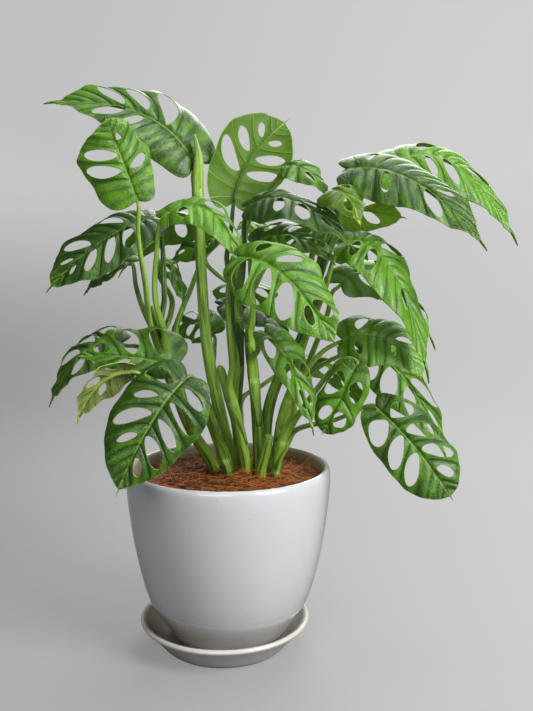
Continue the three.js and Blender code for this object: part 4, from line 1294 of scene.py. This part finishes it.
class PLANT_OT_add_pot(bpy.types.Operator):
    """Throw the glazed pot, with its foot, rounded lip and stained inside"""

    bl_idname = "plant.add_pot"
    bl_label = "Pot"

    def execute(self, context):
        profile = smooth_profile([*POT_OUTSIDE, *POT_INSIDE], POT_STEPS)
        for i in range(POT_STEPS * POT_LIP):
            radius, height = profile[i]
            if radius > POT_STEP_FROM:
                above = smooth(-POT_STEP_SOFTNESS, POT_STEP_SOFTNESS, height - POT_STEP_HEIGHT)
                profile[i] = radius + POT_STEP * (1 - above), height
        shape = Shape()
        shape.lathe([*profile, *POT_UNDERSIDE], POT_SIDES, POT_WOBBLE)
        inside = range(POT_STEPS * (len(POT_OUTSIDE) - 1), len(profile))
        shape.values["under"] = [
            float(i // POT_SIDES in inside) for i in range(len(shape.vertices))]
        piece = shape.build("pot_glazed", pot_finish(looks_of(context)))
        settle(piece, "pot_glaze", "pot")
        return {"FINISHED"}


class PLANT_OT_add_saucer(bpy.types.Operator):
    """Throw the saucer"""

    bl_idname = "plant.add_saucer"
    bl_label = "Saucer"

    def execute(self, context):
        foot, *wall, well = SAUCER_PROFILE
        profile = [(0, 0), foot, *smooth_profile(wall, SAUCER_STEPS), well, *SAUCER_WELL]
        shape = Shape()
        shape.lathe(profile, SAUCER_SIDES, SAUCER_WOBBLE, SAUCER_OFFSET)
        highest = max(range(len(shape.vertices)), key=lambda i: shape.vertices[i].z)
        shape.values["under"] = [float(i > highest) for i in range(len(shape.vertices))]
        piece = shape.build("saucer_glazed", saucer_finish(looks_of(context)))
        settle(piece, "saucer_glaze", "saucer")
        return {"FINISHED"}


def coir_height(x, y):
    """The height of the coir: a hump with hollows and crumbs."""
    edge, level = COIR_WALL[-1]
    reach = math.hypot(x, y) / edge
    hump = level + COIR_HUMP * math.cos(min(reach, 1) * math.pi / 2)
    uneven = sum(
        noise.noise(Vector((x, y, layer)) * fineness) * share
        for layer, (share, fineness) in ((0, COIR_HOLLOWS), (9, COIR_CRUMBS)))
    return hump + COIR_ROUGHNESS * uneven * (1 - COIR_CALM * smooth(COIR_CALM_FROM, 1, reach))


def coir_top(shape, rings, sides):
    """Rings of vertices over the top of the coir, from the wall to the middle."""
    edge = COIR_WALL[-1][0]
    made = [shape.level_ring(edge * (1 - i / rings), sides, coir_height) for i in range(rings)]
    centre = shape.vertex(Vector((0, 0, coir_height(0, 0))))
    return [*made, [centre] * sides]


def fibre_tree():
    """Node tree that strews bent fibres over a surface."""
    tree = bpy.data.node_groups.new("strewn fibres", "GeometryNodeTree")
    kinds = {"Ground": "Geometry", "Seed": "Int", "Material": "Material"}
    for name in ("Ground", "Density", "Length", "Radius", "Bend", "Bend Scale", "Tilt", "Wall",
                 "Seed", "Material"):
        kind = kinds.get(name, "Float")
        tree.interface.new_socket(name, in_out="INPUT", socket_type=f"NodeSocket{kind}")
    tree.interface.new_socket("Fibres", in_out="OUTPUT", socket_type="NodeSocketGeometry")
    graph = Graph(tree)
    source = graph.add("NodeGroupInput")
    given = {socket.name: Value(graph, socket) for socket in source.outputs if socket.name}
    seed, tilt, bend = given["Seed"], given["Tilt"], given["Bend"]

    def draw(kind, least, most, seed):
        sockets = {"Min": least, "Max": most, "Seed": seed}
        return graph.out("FunctionNodeRandomValue", {"data_type": kind}, sockets)

    def step(kind, settings=None, **sockets):
        return graph.out(f"GeometryNode{kind}", settings, titled(sockets))

    points = step(
        "DistributePointsOnFaces", mesh=given["Ground"], density=given["Density"], seed=seed)
    points = step(
        "StoreNamedAttribute", {"data_type": "FLOAT", "domain": "POINT"}, geometry=points,
        name="shade", value=draw("FLOAT", 0, 1, seed))
    line = step("CurvePrimitiveLine", start=(-0.5, 0, 0), end=(0.5, 0, 0))
    line = step("ResampleCurve", curve=line, count=FIBRE_POINTS)
    shortest, longest = (given["Length"] * share for share in FIBRE_LENGTHS)
    turn = draw(
        "FLOAT_VECTOR", graph.combined(0 - tilt, 0 - tilt, 0),
        graph.combined(tilt, tilt, math.tau), seed + 1)
    fibres = step(
        "InstanceOnPoints", points=points, instance=line, rotation=turn,
        scale=draw("FLOAT", shortest, longest, seed + 2))
    fibres = step("RealizeInstances", geometry=fibres)
    drawn = step("InputNamedAttribute", {"data_type": "FLOAT"}, name="shade")
    position = step("InputPosition")
    swirl = graph.out(
        "ShaderNodeTexNoise", {"noise_dimensions": "4D"},
        {"Vector": position, "W": drawn * FIBRE_DRIFT, "Scale": given["Bend Scale"],
         "Detail": 1}, "Color")
    shift = graph.vector(
        "MULTIPLY", graph.vector("SUBTRACT", swirl, FIBRE_RISE),
        graph.combined(bend, bend, bend * FIBRE_LEVEL))
    fibres = step("SetPosition", geometry=fibres, offset=shift)
    level = graph.vector("MULTIPLY", position, (1, 1, 0))
    reach = graph.out("ShaderNodeVectorMath", {"operation": "LENGTH"}, {0: level}, "Value")
    inward = graph.math("MINIMUM", given["Wall"] / reach, 1)
    kept = graph.vector("MULTIPLY", position, graph.combined(inward, inward, 1))
    fibres = step("SetPosition", geometry=fibres, position=kept)
    thinnest, spread = FIBRE_RADII
    fibres = step("SetCurveRadius", curve=fibres, radius=thinnest + drawn * spread)
    ring = step("CurvePrimitiveCircle", resolution=FIBRE_SIDES, radius=given["Radius"])
    fibres = step("CurveToMesh", curve=fibres, profile_curve=ring, fill_caps=True)
    fibres = step("RealizeInstances", geometry=fibres)
    fibres = step("SetMaterial", geometry=fibres, material=given["Material"])
    graph.add("NodeGroupOutput", None, {"Fibres": fibres})
    return tree


def grow(name, ground, tree, **inputs):
    """Runs a node tree on an object and keeps what it makes as a plain mesh object."""
    modifier = ground.modifiers.new(name, "NODES")
    modifier.node_group = tree
    values = titled(inputs)
    for item in tree.interface.items_tree:
        if item.name in values:
            modifier[item.identifier] = values[item.name]
    graph = bpy.context.evaluated_depsgraph_get()
    mesh = bpy.data.meshes.new_from_object(
        ground.evaluated_get(graph), preserve_all_data_layers=True, depsgraph=graph)
    ground.modifiers.remove(modifier)
    mesh.name = name
    if not mesh.polygons:
        raise RuntimeError(f"{name} came out empty")
    return place(name, mesh)


class PLANT_OT_add_coir(bpy.types.Operator):
    """Fill the pot with coir: a rough ground, short fibres and long loose strands"""

    bl_idname = "plant.add_coir"
    bl_label = "Coir"

    def execute(self, context):
        looks = looks_of(context)
        bed = Shape()
        sides = BED_GRID[1]
        rings = [
            bed.level_ring(radius, sides, lambda x, y: height)
            for radius, height in COIR_WALL[:-1]]
        bed.loft([*rings, *coir_top(bed, *BED_GRID)])
        settle(bed.build("coir_bed", coir_finish(looks)), "coir", "coir")
        cover = Shape()
        cover.join(coir_top(cover, *COVER_GRID))
        ground = cover.build("coir_cover")
        tree = fibre_tree()
        wall = (COIR_WALL[-1][0] - WALL_GAP) * MM
        pieces = [
            grow(
                name, ground, tree, wall=wall, length=looks.fibre_length * longer,
                radius=looks.fibre_radius * thicker,
                material=fibre_finish(finish, looks, lift), **inputs)
            for name, finish, longer, thicker, lift, inputs in FIBRE_KINDS]
        bpy.data.objects.remove(ground)
        for piece in pieces:
            settle(piece, "coir")
        return {"FINISHED"}


class PLANT_OT_add_stems(bpy.types.Operator):
    """Grow the fluted stems with their rings, and the rolled young sheath at the top"""

    bl_idname = "plant.add_stems"
    bl_label = "Stems"

    def execute(self, context):
        skin = stem_finish("stem skin", looks_of(context))
        for name, stem in STEMS.items():
            dice = random.Random(name)
            path = stem_path(stem)
            phase = dice.uniform(0, math.tau)
            nodes = sorted(
                path.share_at_height(leaf.start - STEM_NODE_DROP)
                for leaf in LEAVES if leaf.stem == name)

            def radius(share, angle):
                base = lerp(*stem.radii, share)
                height, length = STEM_NODE
                ring = sum(math.exp(-((share - node) / length) ** 2) for node in nodes)
                broad, fine = STEM_FLUTES
                flute = broad * math.cos(2 * angle + phase) + fine * math.cos(5 * angle + 4 * share)
                close = math.sqrt(max(1 - smooth(*STEM_CLOSE, share), STEM_CLOSED))
                return base * (1 + flute + height * ring) * close

            shape = Shape(tone=dice.uniform(*STEM_TONES))
            shape.tube(path, even_shares(STEM_RINGS), radius, STEM_SIDES, Vector((1, 0, 0)))
            if name == "stem_tall":
                self.add_young_sheath(shape, path)
            settle(shape.build(f"{name}_skin", skin), "stem", name)
        return {"FINISHED"}

    @staticmethod
    def add_young_sheath(shape, path):
        """The pointed sheath of the next leaf, rolled round the top of the stem."""
        top = path.at(1)
        course = Path([top + Vector(shift) for shift in YOUNG_SHEATH])

        def radius(share, angle):
            roll = 1 + YOUNG_SHEATH_ROLL * (angle / math.tau)
            belly = 1 + YOUNG_SHEATH_BELLY * math.sin(math.pi * smooth(0.1, 0.9, share))
            taper = (1 - share) ** YOUNG_SHEATH_TAPER
            return roll * belly * (YOUNG_SHEATH_RADIUS * taper + YOUNG_SHEATH_TIP)

        shape.tube(
            course, even_shares(YOUNG_SHEATH_RINGS), radius, YOUNG_SHEATH_SIDES,
            Vector((0, -1, 0)), sheath=YOUNG_SHEATH_DRY)


class PLANT_OT_add_leaves(bpy.types.Operator):
    """Grow the cut leaves, each with its petiole"""

    bl_idname = "plant.add_leaves"
    bl_label = "Leaves"

    def execute(self, context):
        looks = looks_of(context)
        finishes = {
            kind: leaf_finish(name, [getattr(looks, colour) for colour in colours], *shares)
            for kind, (name, colours, *shares) in LEAF_FINISHES.items()}
        petiole = stem_finish("petiole skin", looks)
        for leaf in LEAVES:
            blade = Blade(leaf)
            shape = Shape(tone=leaf.tone)
            sheet = Sheet(blade)
            for side, holes in enumerate(leaf.holes):
                sheet.add_side(side, holes)
            sheet.close(shape, looks.leaf_thickness / MM)
            add_midrib(shape, blade)
            add_petiole(shape, leaf, blade)
            piece = shape.build(f"{leaf.name}_veined", finishes[leaf.kind], petiole)
            settle(piece, leaf.kind, leaf.name)
        return {"FINISHED"}


# Stage, with the camera's place in millimetres and all else in metres ----------------

CAMERA_PLACE = (31.7, -665, 325)
CAMERA_PITCH = math.radians(6.8)
CAMERA_LENS = 41.04
CAMERA_SENSOR = 36
COVE_PROFILE = (
    (0, 0), (1.1, 0), (1.35, 0.03), (1.6, 0.14), (1.8, 0.34), (1.95, 0.65), (2.02, 1.0),
    (2.05, 2.8),
)
COVE_STEPS = 5
COVE_SIDES = 96
LAMPS = (
    # name, place, aim, size, watts, colour
    ("window_right", (1.3, -0.95, 1.15), (0.02, 0, 0.24), (0.8, 1.1), 48, (1, 0.99, 0.97)),
    ("sky_behind", (0.3, 1.3, 1.2), (0, 0, 0.36), (1.2, 0.7), 21, (1, 1, 0.96)),
    ("sky_above", (0.3, 0.1, 1.9), (0.03, 0, 0.2), (0.8, 0.8), 12, (1, 1, 1)),
    ("room_front", (-0.3, -1.25, 0.95), (-0.02, 0, 0.28), (0.9, 0.7), 5.5, (1, 1, 0.98)),
)
# Painted light: how much brighter the cove looks to the camera than the light it gives, from its
# left to its right, low down and high up
COVE_PAINTED_GLOW_LOW = (0.1, 0.36)
COVE_PAINTED_GLOW_HIGH = (0.42, 0.52)
ROOM_COLOUR = (0.97, 0.98, 1, 1)
ROOM_LIGHT = 0.2


class PLANT_OT_add_stage(bpy.types.Operator):
    """Set the pale cove, the soft lamps and the camera"""

    bl_idname = "plant.add_stage"
    bl_label = "Stage"

    def execute(self, context):
        self.add_cove(looks_of(context))
        for lamp in LAMPS:
            self.add_lamp(context.scene, *lamp)
        self.add_room(context.scene)
        self.add_camera(context.scene)
        return {"FINISHED"}

    @staticmethod
    def add_cove(looks):
        """The floor that curves up into the wall, with a painted glow that only the camera sees,
        brighter on the right and higher up.
        """
        cove = Shape()
        profile = reversed(smooth_profile(COVE_PROFILE, COVE_STEPS))
        cove.join([
            cove.level_ring(radius / MM, COVE_SIDES, lambda x, y: height / MM)
            for radius, height in profile])
        finish = Finish("cove")
        clouds = finish.noise(1.4, detail=2)
        colour = finish.mix(clouds * 0.2, looks.backdrop, shade(looks.backdrop, 0.9))
        # Painted light on the cove: an emitted glow for camera rays only, stronger to the right and
        # higher up, stands in for the lamps' light on the wall
        seen = finish.out("ShaderNodeLightPath", output="Is Camera Ray")
        across, _, height = finish.parts_of_place()
        painted_light_east, high = across.band(-0.9, 0.9), height.band(0, 0.6)
        low_glow, high_glow = (lerp(*ends, painted_light_east) for ends in (COVE_PAINTED_GLOW_LOW, COVE_PAINTED_GLOW_HIGH))
        glow = finish.mix(seen * lerp(low_glow, high_glow, high), (0, 0, 0), (1, 1, 1))
        surface = finish.surface(
            base_color=colour, roughness=0.9, emission_color=glow, emission_strength=1)
        cove.build("cove", surface)

    @staticmethod
    def add_lamp(scene, name, spot, aim, size, watts, colour):
        """A soft rectangular lamp that looks from its spot at its aim."""
        lamp = bpy.data.lights.new(name, "AREA")
        lamp.shape = "RECTANGLE"
        lamp.size, lamp.size_y = size
        lamp.energy = watts
        lamp.color = colour
        holder = bpy.data.objects.new(name, lamp)
        holder.location = spot
        holder.rotation_euler = (Vector(aim) - Vector(spot)).to_track_quat("-Z", "Y").to_euler()
        scene.collection.objects.link(holder)

    @staticmethod
    def add_room(scene):
        """The dim even light of the room."""
        world = bpy.data.worlds.new("room")
        world.use_nodes = True
        sky = world.node_tree.nodes["Background"]
        sky.inputs["Color"].default_value = ROOM_COLOUR
        sky.inputs["Strength"].default_value = ROOM_LIGHT
        scene.world = world

    @staticmethod
    def add_camera(scene):
        """The camera, a little above the plant's middle and tilted down."""
        lens = bpy.data.cameras.new("camera")
        lens.lens = CAMERA_LENS
        lens.sensor_width = CAMERA_SENSOR
        camera = bpy.data.objects.new("camera", lens)
        camera.location = Vector(CAMERA_PLACE) * MM
        camera.rotation_euler = (math.pi / 2 - CAMERA_PITCH, 0, 0)
        scene.collection.objects.link(camera)
        scene.camera = camera
        scene.view_settings.view_transform = "Standard"


OPERATORS = (
    PLANT_OT_add_pot, PLANT_OT_add_saucer, PLANT_OT_add_coir, PLANT_OT_add_stems,
    PLANT_OT_add_leaves, PLANT_OT_add_stage,
)


class PLANT_PT_panel(bpy.types.Panel):
    """Lists the pieces of the plant"""

    bl_label = "Potted plant"
    bl_idname = "PLANT_PT_panel"
    bl_space_type = "VIEW_3D"
    bl_region_type = "UI"
    bl_category = "Plant"

    def draw(self, context):
        for operator in OPERATORS:
            self.layout.operator(operator.bl_idname)
        for name in PlantLooks.__annotations__:
            self.layout.prop(looks_of(context), name)


CLASSES = (PlantLooks, *OPERATORS, PLANT_PT_panel)


def register():
    for item in CLASSES:
        bpy.utils.register_class(item)
    bpy.types.Scene.plant_looks = PointerProperty(type=PlantLooks)


def unregister():
    del bpy.types.Scene.plant_looks
    for item in reversed(CLASSES):
        bpy.utils.unregister_class(item)


def main():
    register()
    for operator in OPERATORS:
        getattr(bpy.ops.plant, operator.bl_idname.split(".")[1])()


if __name__ == "__main__":
    main()
